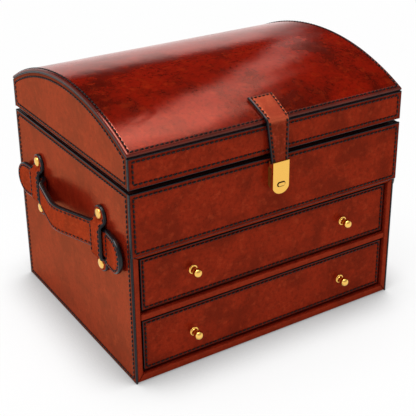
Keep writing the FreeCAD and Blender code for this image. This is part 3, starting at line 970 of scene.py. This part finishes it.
@dataclass
class LidLeather:
    """Leather of the domed lid."""

    palette: Palette
    inset: float = 4.5
    dome_inset: float = 3.5

    def build(self) -> None:
        """Make the dome, the front and back strips and the two arched ends."""
        self._dome()
        p = self.palette
        inset = self.inset
        top = DOME_Z + math.sqrt(UNDER_DOME_R ** 2 - FRONT_Y ** 2)
        outline, rows = sewn_rectangle(-HALF_WIDTH, HALF_WIDTH, LID_BOTTOM, top, inset, rise=1.0)
        for name, lay, leather in (("front", lay_front(FRONT_Y), p.front),
                                   ("back", lay_flat(X, Z, Y, BACK_Y), p.side)):
            LeatherCut("lid_%s_strip" % name, outline, lay, SKIN_T, leather, p, Body.LID,
                       stands_for=("lid_%s_skin" % name,), stitches=rows, stitch_inset=inset).build()

        y_end = BACK_Y - SKIN_T
        outline = [(y_end, LID_BOTTOM)] + self._arch(y_end, UNDER_DOME_R) + [(-y_end, LID_BOTTOM)]
        y_row = y_end - inset
        foot = LID_BOTTOM + inset
        row = StitchLine(((y_row, foot), *self._arch(y_row, UNDER_DOME_R - inset), (-y_row, foot)), True)
        for side in Side:
            name = side.name.lower()
            LeatherCut("lid_end_" + name + "_panel", outline, lay_end(side), SKIN_T, p.side, p, Body.LID,
                       stands_for=("lid_end_skin_" + name,), stitches=(row,), stitch_inset=inset,
                       wave=0.18).build()

    def _dome(self) -> None:
        """Make the dome's leather, which has two faint bends near its left front corner."""
        half_arc = DOME_R * math.asin(BACK_Y / DOME_R)
        inset = self.dome_inset
        outline, rows = sewn_rectangle(-HALF_WIDTH, HALF_WIDTH, -half_arc, half_arc, inset)
        creases = (
            Crease(((-138.3, -84.0), (-125.3, -96.0), (-104.2, -87.1), (-103.9, -55.7), (-108.2, -48.9)),
                   0.17, 1.3),
            Crease(((-118.0, -70.0), (-104.2, -87.1), (-100.0, -89.0)), 0.12, 1.2))
        LeatherCut("dome", outline, lay_dome(DOME_R), DOME_SKIN_T, self.palette.dome, self.palette, Body.LID,
                   stands_for=("lid_dome_skin",), stitches=rows, stitch_inset=inset, cell=3.2,
                   edge_round=2.0, edge_band=0.02, wave=0.12, wave_mm=40.0, groove_depth=0.45,
                   creases=creases).build()

    def _arch(self, y_end: float, radius: float) -> list[Point]:
        """Follow the underside of the dome's leather.

        Args:
            y_end: where the arch starts, and ends on the other side.
            radius: its distance from the dome's axis.

        Returns:
            The points from +y_end to -y_end.
        """
        ys = np.linspace(y_end, -y_end, 33)
        return [(float(y), DOME_Z + math.sqrt(radius ** 2 - y ** 2)) for y in ys]


def add_turned(bm: BMesh, profile: Sequence[Point], centre: Vector, axis: Vector, steps: int) -> None:
    """Turn a profile round an axis.

    Args:
        bm: mesh that takes the shape, in metres.
        profile: pairs of radius and distance along the axis, in millimetres.
        centre: start of the axis in millimetres.
        axis: unit direction of the axis.
        steps: number of steps round the axis.
    """
    side = axis.orthogonal().normalized()
    verts = [bm.verts.new((centre + axis * along + side * radius) * MM) for radius, along in profile]
    edges = [bm.edges.new(pair) for pair in zip(verts, verts[1:])]
    before = set(bm.faces)
    bmesh.ops.spin(bm, geom=verts + edges, cent=centre * MM, axis=axis, angle=math.tau, steps=steps,
                   use_merge=True)
    bmesh.ops.remove_doubles(bm, verts=bm.verts[:], dist=1e-6)
    bmesh.ops.recalc_face_normals(bm, faces=[f for f in bm.faces if f not in before])


def paint(material: Material, *nodes: str) -> None:
    """Give CAD nodes a material.

    Args:
        material: what they are made of.
        nodes: the nodes' names.
    """
    for node in nodes:
        mesh = frame["nodes"][node].data
        mesh.materials.clear()
        mesh.materials.append(material)


def soften(width_mm: float, *nodes: str) -> None:
    """Round the sharp edges of CAD nodes.

    Args:
        width_mm: width of the rounding.
        nodes: the nodes' names.
    """
    for node in nodes:
        obj = frame["nodes"][node]
        bevel = obj.modifiers.new("rounded edges", "BEVEL")
        bevel.width = width_mm * MM
        bevel.segments = 3
        bevel.limit_method = "ANGLE"
        bevel.angle_limit = math.radians(50)
        obj.data.polygons.foreach_set("use_smooth", [True] * len(obj.data.polygons))
        obj.data.set_sharp_from_angle(angle=math.radians(35))


@dataclass
class Drawer:
    """Leather front, ball knobs and inside of one drawer."""

    level: str
    body: Body
    palette: Palette
    floor: float
    knob_z: float
    front_y: float = -118.0
    half_width: float = 140.0
    height: float = 56.5
    gap: float = 2.2
    inset: float = 2.9
    knob_x: float = 86.5
    flange_r: float = 4.6
    ball_r: float = 4.5
    reach: float = 8.0

    def build(self) -> None:
        """Make the drawer's visible pieces."""
        p = self.palette
        node = "drawer_" + self.level
        outline, rows = sewn_rectangle(-self.half_width, self.half_width, self.floor + self.gap,
                                       self.floor + self.height - self.gap, self.inset)
        LeatherCut(node + "_panel", outline, lay_front(self.front_y), SKIN_T, p.front, p, self.body,
                   stands_for=(node + "_skin",), stitches=rows, stitch_inset=self.inset, wave=0.16).build()
        bm = bmesh.new()
        for x in (-self.knob_x, self.knob_x):
            add_turned(bm, self._knob_profile(), Vector((x, self.front_y, self.knob_z)), -Y, 36)
        knobs = mesh_object(node + "_ball_knobs", bm, [p.brass], 60.0)
        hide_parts(node + "_knobs")
        place_piece(knobs, self.body)
        paint(p.binding, node + "_front")
        paint(p.wood, node + "_walls", node + "_bottom")
        paint(p.suede, node + "_lining")

    def _knob_profile(self) -> list[Point]:
        """Draw a knob's half section: round flange, tapered neck and ball.

        Returns:
            Pairs of radius and distance from the drawer's face.
        """
        flange = [(0.0, -1.0), (self.flange_r, -1.0), (self.flange_r, 0.7), (4.5, 1.0), (4.3, 1.25),
                  (4.0, 1.35), (3.6, 1.4)]
        neck = [(3.4, 1.5), (3.2, 1.8), (2.95, 2.5), (2.7, 3.2), (2.55, 3.8), (2.5, 4.3)]
        ball = [(self.ball_r * math.sin(a), self.reach - self.ball_r * math.cos(a))
                for a in np.linspace(0.59, math.pi, 16)[:-1]]
        return flange + neck + ball + [(0.0, self.reach + self.ball_r)]


@dataclass
class Handles:
    """Carrying straps, their keepers and rivets."""

    palette: Palette
    thickness: float = 4.6
    middle_x: float = 152.7
    middle_z: float = 128.0
    half_width: float = 13.5
    lead: float = 14.0
    bow: float = 17.0
    bow_from_front: float = 63.0
    knuckle: float = 7.7
    knuckle_from_rear: float = 23.0
    shoulder: float = 12.1
    paddle_z: float = 125.5
    paddle_r: float = 17.5
    paddle_length: float = 33.0
    paddle_flare: float = 3.5
    strap_inset: float = 3.2
    keeper_y: tuple[float, float] = (-69.0, 67.0)
    keeper_z: float = 128.5
    keeper_t: float = 3.4
    keeper_gap: float = 0.6
    keeper_half: float = 33.0
    keeper_bridge: float = 15.2
    keeper_foot: float = 18.8
    keeper_r: float = 9.8
    keeper_bend: float = 3.0
    keeper_inset: float = 2.4
    keeper_row: float = 23.0
    rivet_reach: float = 25.2
    rivet_r: float = 4.9

    def build(self) -> None:
        """Make both ends' handles, keepers and rivets."""
        handle_track, keeper_track = self._handle_track(), self._keeper_track()
        for side in Side:
            self._handle(side, handle_track)
            for place, y in zip(("front", "rear"), self.keeper_y):
                self._keeper(side, place, y, keeper_track)
        self._rivets()

    def _handle_track(self) -> Track:
        """Lead a handle from one paddle through both keepers to the other.

        Returns:
            The handle's middle line, seen from above.
        """
        x = self.middle_x
        tip = self.shoulder + self.paddle_length + self.thickness
        front, rear = self.keeper_y
        corners = [
            (x + self.paddle_flare, front - tip), (x, front - self.shoulder), (x, front + self.lead),
            (x + self.bow, front + self.bow_from_front),
            (x + self.knuckle, rear - self.knuckle_from_rear), (x, rear - self.lead),
            (x, rear + self.shoulder), (x + self.paddle_flare, rear + tip)]
        return Track(rounded_path(corners, [20.0, 6.0, 40.0, 6.0, 6.0, 20.0], 10))

    def _keeper_track(self) -> Track:
        """Lead a keeper from its foot over the handle to its other foot.

        Returns:
            The keeper's middle line, seen from the front.
        """
        flat = HALF_WIDTH + self.keeper_t / 2
        bridge_x = self.middle_x + self.thickness / 2 + self.keeper_gap + self.keeper_t / 2
        z, end = self.keeper_z, self.keeper_half + self.keeper_t
        corners = [(flat, z - end), (flat, z - self.keeper_foot), (bridge_x, z - self.keeper_bridge),
                   (bridge_x, z + self.keeper_bridge), (flat, z + self.keeper_foot), (flat, z + end)]
        return Track(rounded_path(corners, [self.keeper_bend] * 4, 8))

    def _handle(self, side: Side, track: Track) -> None:
        """Make one handle: a bowed strap with a paddle at each end.

        Args:
            side: the end of the chest.
            track: the strap's middle line.
        """
        p = self.palette
        z, r, inset = self.paddle_z, self.paddle_r, self.strap_inset
        y0, y1 = self.keeper_y[0] - self.shoulder, self.keeper_y[1] + self.shoulder
        front_end, rear_end = y0 - self.paddle_length + r, y1 + self.paddle_length - r
        low, high = self.middle_z - self.half_width, self.middle_z + self.half_width
        outline = [(y0, low), (y1, low), (y1, z - r), *arc_points((rear_end, z), r, -90, 90, 20),
                   (y1, z + r), (y1, high), (y0, high), (y0, z + r),
                   *arc_points((front_end, z), r, 90, 270, 20), (y0, z - r)]
        rows = [StitchLine(((y0 + 4, row), (y1 - 4, row)), length=3.6, width=1.3)
                for row in (low + inset, high - inset)]
        for centre, start, end, edge in ((rear_end, -90, 90, y1 + inset), (front_end, 90, 270, y0 - inset)):
            arc = arc_points((centre, z), r - inset, start, end, 18)
            path = ((edge, arc[0][1]), *arc, (edge, arc[-1][1]))
            rows.append(StitchLine(path, True, pitch=4.3, length=3.3, width=1.7))
        name = side.name.lower()
        LeatherCut("carry_strap_" + name, outline, lay_bent(side, track, self.thickness, (Y, Z)),
                   self.thickness, p.carry, p, Body["HANDLE_" + side.name], "strap_leather",
                   ("handle_" + name,), tuple(rows), stitch_inset=inset, edge_round=1.4, edge_band=1.7,
                   cell=3.0, both_sides=True, wave=0.2, wave_mm=30.0, groove_depth=0.35).build()

    def _keeper(self, side: Side, place: str, y: float, track: Track) -> None:
        """Make one keeper: a loop of strap with round ends that bridges the handle.

        Args:
            side: the end of the chest.
            place: front or rear.
            y: the keeper's middle.
            track: the keeper's middle line.
        """
        p = self.palette
        z, r = self.keeper_z, self.keeper_r
        end, row = self.keeper_half - r, r - self.keeper_inset
        outline = arc_points((z + end, 0.0), r, -90, 90, 16) + arc_points((z - end, 0.0), r, 90, 270, 16)
        rows = tuple(StitchLine(((z - self.keeper_row, t), (z + self.keeper_row, t)), pitch=4.4, length=3.4,
                                width=1.6) for t in (-row, row))
        name = side.name.lower() + "_" + place
        LeatherCut("keeper_loop_" + name, outline, lay_bent(side, track, self.keeper_t, (Z, Y), y),
                   self.keeper_t, p.carry, p, Body.CASE, "strap_leather", ("keeper_" + name,), rows,
                   stitch_inset=self.keeper_inset, edge_round=1.2, edge_band=1.35, cell=1.8,
                   both_sides=True, wave=0.08, wave_mm=20.0, groove_depth=0.3).build()

    def _rivets(self) -> None:
        """Make the eight domed rivet heads as one piece."""
        bm = bmesh.new()
        profile = [(0.0, -0.6), (self.rivet_r, -0.6), (self.rivet_r, 0.7), (4.7, 1.1), (4.3, 1.4),
                   (3.4, 1.72), (2.2, 1.95), (1.0, 2.06), (0.0, 2.08)]
        for side in Side:
            for y in self.keeper_y:
                for reach in (-self.rivet_reach, self.rivet_reach):
                    foot = Vector((side.value * (HALF_WIDTH + self.keeper_t), y, self.keeper_z + reach))
                    add_turned(bm, profile, foot, X * side.value, 32)
        rivets = mesh_object("rivet_heads", bm, [self.palette.worn_brass], 60.0)
        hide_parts("keeper_rivets")
        place_piece(rivets, Body.CASE)


@dataclass
class Clasp:
    """Strap over the lid's front edge with its plate, button and lock body."""

    palette: Palette
    track: StrapTrack = field(default_factory=StrapTrack)
    start_half: float = 13.5
    middle_half: float = 12.0
    end_half: float = 8.6
    taper: float = 40.0
    inset: float = 2.6
    fold_half: float = 2.2

    def build(self) -> None:
        """Make the strap, which bends between the lid and its free end, and finish the brass."""
        p, track, inset = self.palette, self.track, self.inset
        taper = track.total - self.taper
        widths = ((0.0, self.start_half), (taper, self.middle_half), (track.total, self.end_half))
        outline = [(s, -half) for s, half in widths] + [(s, half) for s, half in reversed(widths)]
        edge = [(s, half - inset) for s, half in ((inset, 13.3), (taper, 12.0), (track.total - 4.0, 8.9))]
        row = StitchLine(tuple([(s, -half) for s, half in reversed(edge)] + edge), pitch=4.4, length=3.2)
        strap = LeatherCut("clasp_strap", outline, track.lay, track.thickness, p.strap, p, None,
                           "strap_leather", ("strap_anchor", "strap_tail"), (row,), stitch_inset=inset,
                           edge_round=1.2, edge_band=1.2, cell=1.5, both_sides=True, wave=0.12,
                           wave_mm=14.0, groove_depth=0.35).build()
        for obj in (strap, bpy.data.objects["thread_clasp_strap"]):
            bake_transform(obj)
        paint(p.clasp_brass, "hasp_plate", "push_button")
        paint(p.worn_brass, "hasp_clamp")
        # The lock body's darker brass is painted shade
        paint(p.dull_brass, "lock_body")
        soften(0.3, "hasp_plate", "push_button")
        soften(0.4, "hasp_clamp", "lock_body")


@dataclass
class FaceFrame:
    """Leather bound frame round both drawers, folded at mitres in its corners."""

    palette: Palette
    depth: float = 5.8
    outer: float = 148.0
    inner: float = 142.2
    foot: float = 1.0
    low: float = 8.5
    rail: tuple[float, float] = (65.0, 71.5)
    top: float = 128.0

    def build(self) -> None:
        """Make two stiles and three rails."""
        p = self.palette
        outer, inner = self.outer, self.inner
        foot, low, top, high = self.foot, self.low, self.top, PANEL_BOTTOM
        bars = {
            "frame_stile_left": [(-outer, foot), (-inner, low), (-inner, top), (-outer, high)],
            "frame_stile_right": [(outer, foot), (outer, high), (inner, top), (inner, low)],
            "frame_rail_bottom": [(-outer, foot), (outer, foot), (inner, low), (-inner, low)],
            "frame_rail_top": [(-inner, top), (inner, top), (outer, high), (-outer, high)],
            "frame_rail_middle": rectangle(-inner, inner, *self.rail)}
        for name, outline in bars.items():
            LeatherCut(name, outline, lay_front(FRAME_Y), self.depth, p.frame, p, Body.CASE,
                       "frame_leather", ("face_frame",), edge_round=1.2, edge_band=-1.0, wave=0.1,
                       wave_mm=15.0, cell=8.0).build()


@dataclass
class RingRolls:
    """Soft rolls of suede over foam that hold rings between them."""

    palette: Palette
    x0: float = -138.2
    x1: float = 29.4
    first_y: float = -92.3
    pitch: float = 15.4
    count: int = 7
    radius: float = 7.6
    floor: float = 135.0
    height: float = 24.0
    steps: int = 28
    drawn_in: float = 0.16
    drawn_length: float = 2.2
    slack: float = 0.25
    slack_x: float = 18.0
    slack_yz: float = 9.0

    def build(self) -> None:
        """Make the rolls as one padded piece."""
        bm = bmesh.new()
        for index in range(self.count):
            self._roll(bm, self.first_y + index * self.pitch)
        bmesh.ops.recalc_face_normals(bm, faces=bm.faces[:])
        rolls = mesh_object("suede_ring_rolls", bm, [self.palette.suede], 60.0)
        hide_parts("ring_rolls")
        place_piece(rolls, Body.CASE)

    def _roll(self, bm: BMesh, y: float) -> None:
        """Add one roll, which is a little slack along its length and drawn in at its ends.

        Args:
            bm: mesh that takes the roll, in metres.
            y: the roll's middle.
        """
        top = self.floor + self.height - self.radius
        outline = [(y - self.radius, self.floor), *arc_points((y, top), self.radius, 180, 0, 14),
                   (y + self.radius, self.floor)]
        length = self.x1 - self.x0
        face = bm.faces.new([bm.verts.new() for _ in outline])
        for step in range(self.steps + 1):
            if step:
                raised = bmesh.ops.extrude_face_region(bm, geom=[face, *face.edges])
                face = next(item for item in raised["geom"] if isinstance(item, bmesh.types.BMFace))
            along = length * step / self.steps
            x = self.x0 + along
            shrink = 1.0 - self.drawn_in * math.exp(-min(along, length - along) / self.drawn_length)
            for vert, (u, v) in zip(face.verts, outline):
                where = Vector((x / self.slack_x, u / self.slack_yz, v / self.slack_yz))
                slack = self.slack * noise.noise(where)
                vert.co = Vector((x, y + (u - y) * shrink * (1 + slack / 20),
                                  self.floor + (v - self.floor) * shrink + slack)) * MM


@dataclass
class Pads:
    """Thin suede cushions on the tray's and drawers' floors and under the lid's crown."""

    palette: Palette
    thickness: float = 2.8
    lift: float = 2.6
    tray_floor: float = 135.4
    half_width: float = 137.4
    rear_y: tuple[float, float] = (11.8, 110.4)
    lid_board: float = 13.6
    lid_thickness: float = 4.0

    def build(self) -> None:
        """Make one cushion for each floor, and the lid's."""
        half, tray = self.half_width, self.tray_floor
        drawer = rectangle(-132.7, 132.7, -108.0, 105.2)
        floors = (
            ("tray_pad_front", Body.CASE, tray, rectangle(33.6, half, -109.9, 7.2)),
            ("tray_pad_rear_left", Body.CASE, tray, rectangle(-half, -48.3, *self.rear_y)),
            ("tray_pad_rear_middle", Body.CASE, tray, rectangle(-43.7, 43.7, *self.rear_y)),
            ("tray_pad_rear_right", Body.CASE, tray, rectangle(48.3, half, *self.rear_y)),
            ("drawer_pad_upper", Body.DRAWER_UPPER, 77.4, drawer),
            ("drawer_pad_lower", Body.DRAWER_LOWER, 14.4, drawer))
        for name, body, floor, outline in floors:
            self._pad(name, body, outline, lay_flat(X, Y, Z, floor + self.lift), self.thickness, 2.2, 0.35,
                      28.0)
        crown = rectangle(-130.0, 130.0, -98.0, 98.0)
        self._pad("lid_pad", Body.LID, crown, lay_dome(DOME_R - self.lid_board, -1.0), self.lid_thickness,
                  2.8, 0.45, 30.0)

    def _pad(self, name: str, body: Body, outline: list[Point], lay: Lay, thickness: float,
             edge_round: float, wave: float, wave_mm: float) -> None:
        """Make one cushion with soft edges and a little unevenness.

        Args:
            name: the piece's name.
            body: the body that it rides on.
            outline: its flat shape.
            lay: brings the flat shape to its place.
            thickness: the cushion's thickness.
            edge_round: radius of its edge.
            wave: height of its unevenness.
            wave_mm: length of one wave.
        """
        suede = self.palette.suede
        pad = LeatherCut(name, outline, lay, thickness, suede, self.palette, body, "suede",
                         edge_round=edge_round, edge_band=-1.0, cell=5.0, wave=wave, wave_mm=wave_mm).build()


@dataclass
class Interior:
    """Boards, binding, lining and hinges, which keep their CAD shapes."""

    palette: Palette

    def build(self) -> None:
        """Give the inner pieces their materials."""
        p = self.palette
        paint(p.binding, "case_side_left", "case_side_right", "case_back", "tray_front", "lid_front",
              "lid_back", "lid_end_left", "lid_end_right", "lid_dome", "rim_lip")
        paint(p.wood, "case_bottom", "drawer_shelf", "tray_floor", "drawer_guides")
        paint(p.suede, "tray_lining", "tray_dividers", "lid_lining")
        paint(p.brass, "hinge_lower_leaves", "hinge_upper_leaves", "hinge_pins", "hinge_screws_lower",
              "hinge_screws_upper")
        paint(p.felt, "base_felt")
        soften(0.7, "tray_lining", "tray_dividers", "lid_lining", "rim_lip", "drawer_upper_lining",
               "drawer_lower_lining")


def direction(azimuth: float, elevation: float) -> Vector:
    """Return a unit direction from degrees of azimuth, 0 along +Y and 90 along +X, and elevation."""
    a, e = math.radians(azimuth), math.radians(elevation)
    return Vector((math.sin(a) * math.cos(e), math.cos(a) * math.cos(e), math.sin(e)))


@dataclass
class Studio:
    """Floor, lights, background and camera. None of it is part of the chest."""

    ambient: float = 0.24
    lens_mm: float = 84.01
    camera_place: tuple[float, float, float] = (-0.4795, -0.7716, 0.5421)
    camera_azimuth: float = 32.13
    camera_elevation: float = -23.61
    camera_roll: float = -0.55
    camera_shift: float = -0.12

    def build(self) -> None:
        """Set up everything round the chest."""
        self._floor()
        self._world()
        self._lights()
        self._camera()

    def _floor(self) -> None:
        """Lay a white sheet on which the chest stands."""
        bm = bmesh.new()
        bmesh.ops.create_grid(bm, x_segments=1, y_segments=1, size=15.0)
        material, tree = blank_material("white paper")
        paper = add_node(tree, "BsdfDiffuse", (linear("#F2F2F2"),))
        # Painted contact shadow: the glow turns grey where ambient occlusion finds the chest close by
        open_sky = add_node(tree, "AmbientOcclusion", {"Distance": 0.065}, "AO", samples=16)
        painted_shadow_glow = cover(tree, linear("#A6A6A6"), linear("#FEFEFE"), (open_sky, 0.4, 0.96))
        glowing_sheet = add_node(tree, "Emission", (painted_shadow_glow, 1.0))
        coords = add_node(tree, "TexCoord", out="Object")
        away = add_node(tree, "VectorMath", (coords,), "Value", operation="LENGTH")
        # The sheet glows, with a contact shadow painted from ambient occlusion; near the chest most of it
        # glows and the rest is diffuse paper, away from the chest all of it glows
        add_node(tree, "OutputMaterial", (give_way(tree, paper, glowing_sheet, (away, 0.15, 0.34, 0.8, 1.0)),))
        mesh_object("floor", bm, [material])

    def _world(self) -> None:
        """White for the camera, softer for the light that falls on the chest, a room for its polish."""
        world = bpy.data.worlds.new("studio")
        world.use_nodes = True
        bpy.context.scene.world = world
        tree = world.node_tree
        tree.nodes.clear()
        to_camera, to_polish = (add_node(tree, "LightPath", out=ray)
                                for ray in ("Is Camera Ray", "Is Glossy Ray"))
        coords = add_node(tree, "TexCoord", out="Generated")
        x, y, z = (add_node(tree, "SeparateXYZ", (coords,), axis) for axis in "XYZ")
        white, dark, room, crown, soft = (add_node(tree, "Background", (linear("#FFFFFF"), strength))
                                          for strength in (1.0, 0.02, 0.5, 1.7, self.ambient))
        # The far right corner of the room is dark, which the dome mirrors toward the camera
        corner = add_node(tree, "Math", (x, y), operation="MINIMUM")
        behind = give_way(tree, room, dark, (corner, -0.2, 0.05))
        right = add_node(tree, "Math", (y, -0.73, x), operation="MULTIPLY_ADD")
        right = add_node(tree, "Math", (right, y), operation="MINIMUM")
        horizon = give_way(tree, white, dark, (right, -0.06, 0.05))
        walls = give_way(tree, horizon, behind, (z, 0.24, 0.34))
        tent = give_way(tree, walls, crown, (z, 0.84, 0.93))
        light = add_node(tree, "MixShader", (to_polish, soft, tent))
        add_node(tree, "OutputWorld", (add_node(tree, "MixShader", (to_camera, light, white)),))

    def _lights(self) -> None:
        """Hang a broad light overhead, one at the left and a tapered strip behind at the right."""
        self._lamp("overhead", (-0.25, 0.05, 2.3), (0, 0, 0.1), 2.4, 60.0)
        self._lamp("left_window", (-2.3, -0.9, 1.5), (0, 0, 0.1), 0.9, 26.0)
        # Only what the polish and the brass mirror of the window
        self._lamp("window_mirrored", (-2.2, -0.9, 1.45), (0, 0, 0.1), 0.55, 2.6, mirrored=True)
        # A soft box overhead that only polished brass mirrors toward the camera
        self._lamp("soft_box", (-0.75, 0.22, 2.2), (0, 0, 0.15), 1.5, 42.0, mirrored=True)
        low, high = direction(39.0, 20.0) * 2.3, direction(69.0, 68.0) * 2.3
        strips = ((0.07, 0.045), (0.11, 0.1), (0.17, 0.22), (0.28, 0.5), (0.42, 0.95))
        for index, (width, power) in enumerate(strips):
            first, last = (low.lerp(high, (index + end) / len(strips)) for end in (0, 1))
            place, along = (first + last) / 2, last - first
            back = place.normalized()
            up = (along - back * along.dot(back)).normalized()
            turn = Matrix((up.cross(back), up, back)).transposed()
            lamp = self._area_light("strip_%d" % index, (width, along.length), power)
            lamp.matrix_world = Matrix.Translation(place) @ turn.to_4x4()

    def _lamp(self, name: str, place: Sequence[float], target: Sequence[float], size: float, power: float,
              mirrored: bool = False) -> None:
        """Add a square light that faces a target.

        Args:
            name: the light's name.
            place: where it hangs, in metres.
            target: what it faces.
            size: length of its sides in metres.
            power: its power in watts.
            mirrored: true if it only shows in polished surfaces, false if it only lights matt ones.
        """
        lamp = self._area_light(name, (size, size), power)
        lamp.location = place
        lamp.rotation_euler = (Vector(target) - Vector(place)).to_track_quat("-Z", "Y").to_euler()
        lamp.visible_glossy = mirrored
        lamp.visible_diffuse = not mirrored

    def _area_light(self, name: str, size: Point, power: float) -> Object:
        """Add a rectangular light.

        Args:
            name: the light's name.
            size: its sides in metres.
            power: its power in watts.

        Returns:
            The light's object.
        """
        light = bpy.data.lights.new(name, "AREA")
        light.shape = "RECTANGLE"
        light.size, light.size_y = size
        light.energy = power
        lamp = bpy.data.objects.new(name, light)
        bpy.context.scene.collection.objects.link(lamp)
        return lamp

    def _camera(self) -> None:
        """Put the camera where the photo was taken from."""
        data = bpy.data.cameras.new("camera")
        data.sensor_width = 36.0
        data.lens = self.lens_mm
        data.shift_y = self.camera_shift
        data.clip_end = 60.0
        forward = direction(self.camera_azimuth, self.camera_elevation)
        level = forward.cross(Z).normalized()
        upright = level.cross(forward)
        roll = math.asin(math.sin(math.radians(self.camera_roll)) / upright.z)
        right = level * math.cos(roll) + upright * math.sin(roll)
        turn = Matrix((right, right.cross(forward), -forward)).transposed()
        camera = bpy.data.objects.new("camera", data)
        camera.matrix_world = Matrix.Translation(self.camera_place) @ turn.to_4x4()
        bpy.context.scene.collection.objects.link(camera)
        bpy.context.scene.camera = camera
        bpy.context.scene.view_settings.view_transform = "Standard"


def main() -> None:
    """Build the chest's looks piece by piece."""
    logging.basicConfig(level=logging.INFO, format="%(name)s: %(message)s")
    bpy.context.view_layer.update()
    palette = Palette(**{name: finish.build() for name, finish in FINISHES.items()})
    assemblies = [
        CaseLeather(palette), LidLeather(palette),
        Drawer("upper", Body.DRAWER_UPPER, palette, floor=71.5, knob_z=99.75),
        Drawer("lower", Body.DRAWER_LOWER, palette, floor=8.5, knob_z=33.75), FaceFrame(palette),
        Handles(palette), Clasp(palette), RingRolls(palette), Pads(palette), Interior(palette), Studio()]
    for assembly in assemblies:
        assembly.build()
        LOG.info("built %s", type(assembly).__name__)


if __name__ == "__main__":
    main()
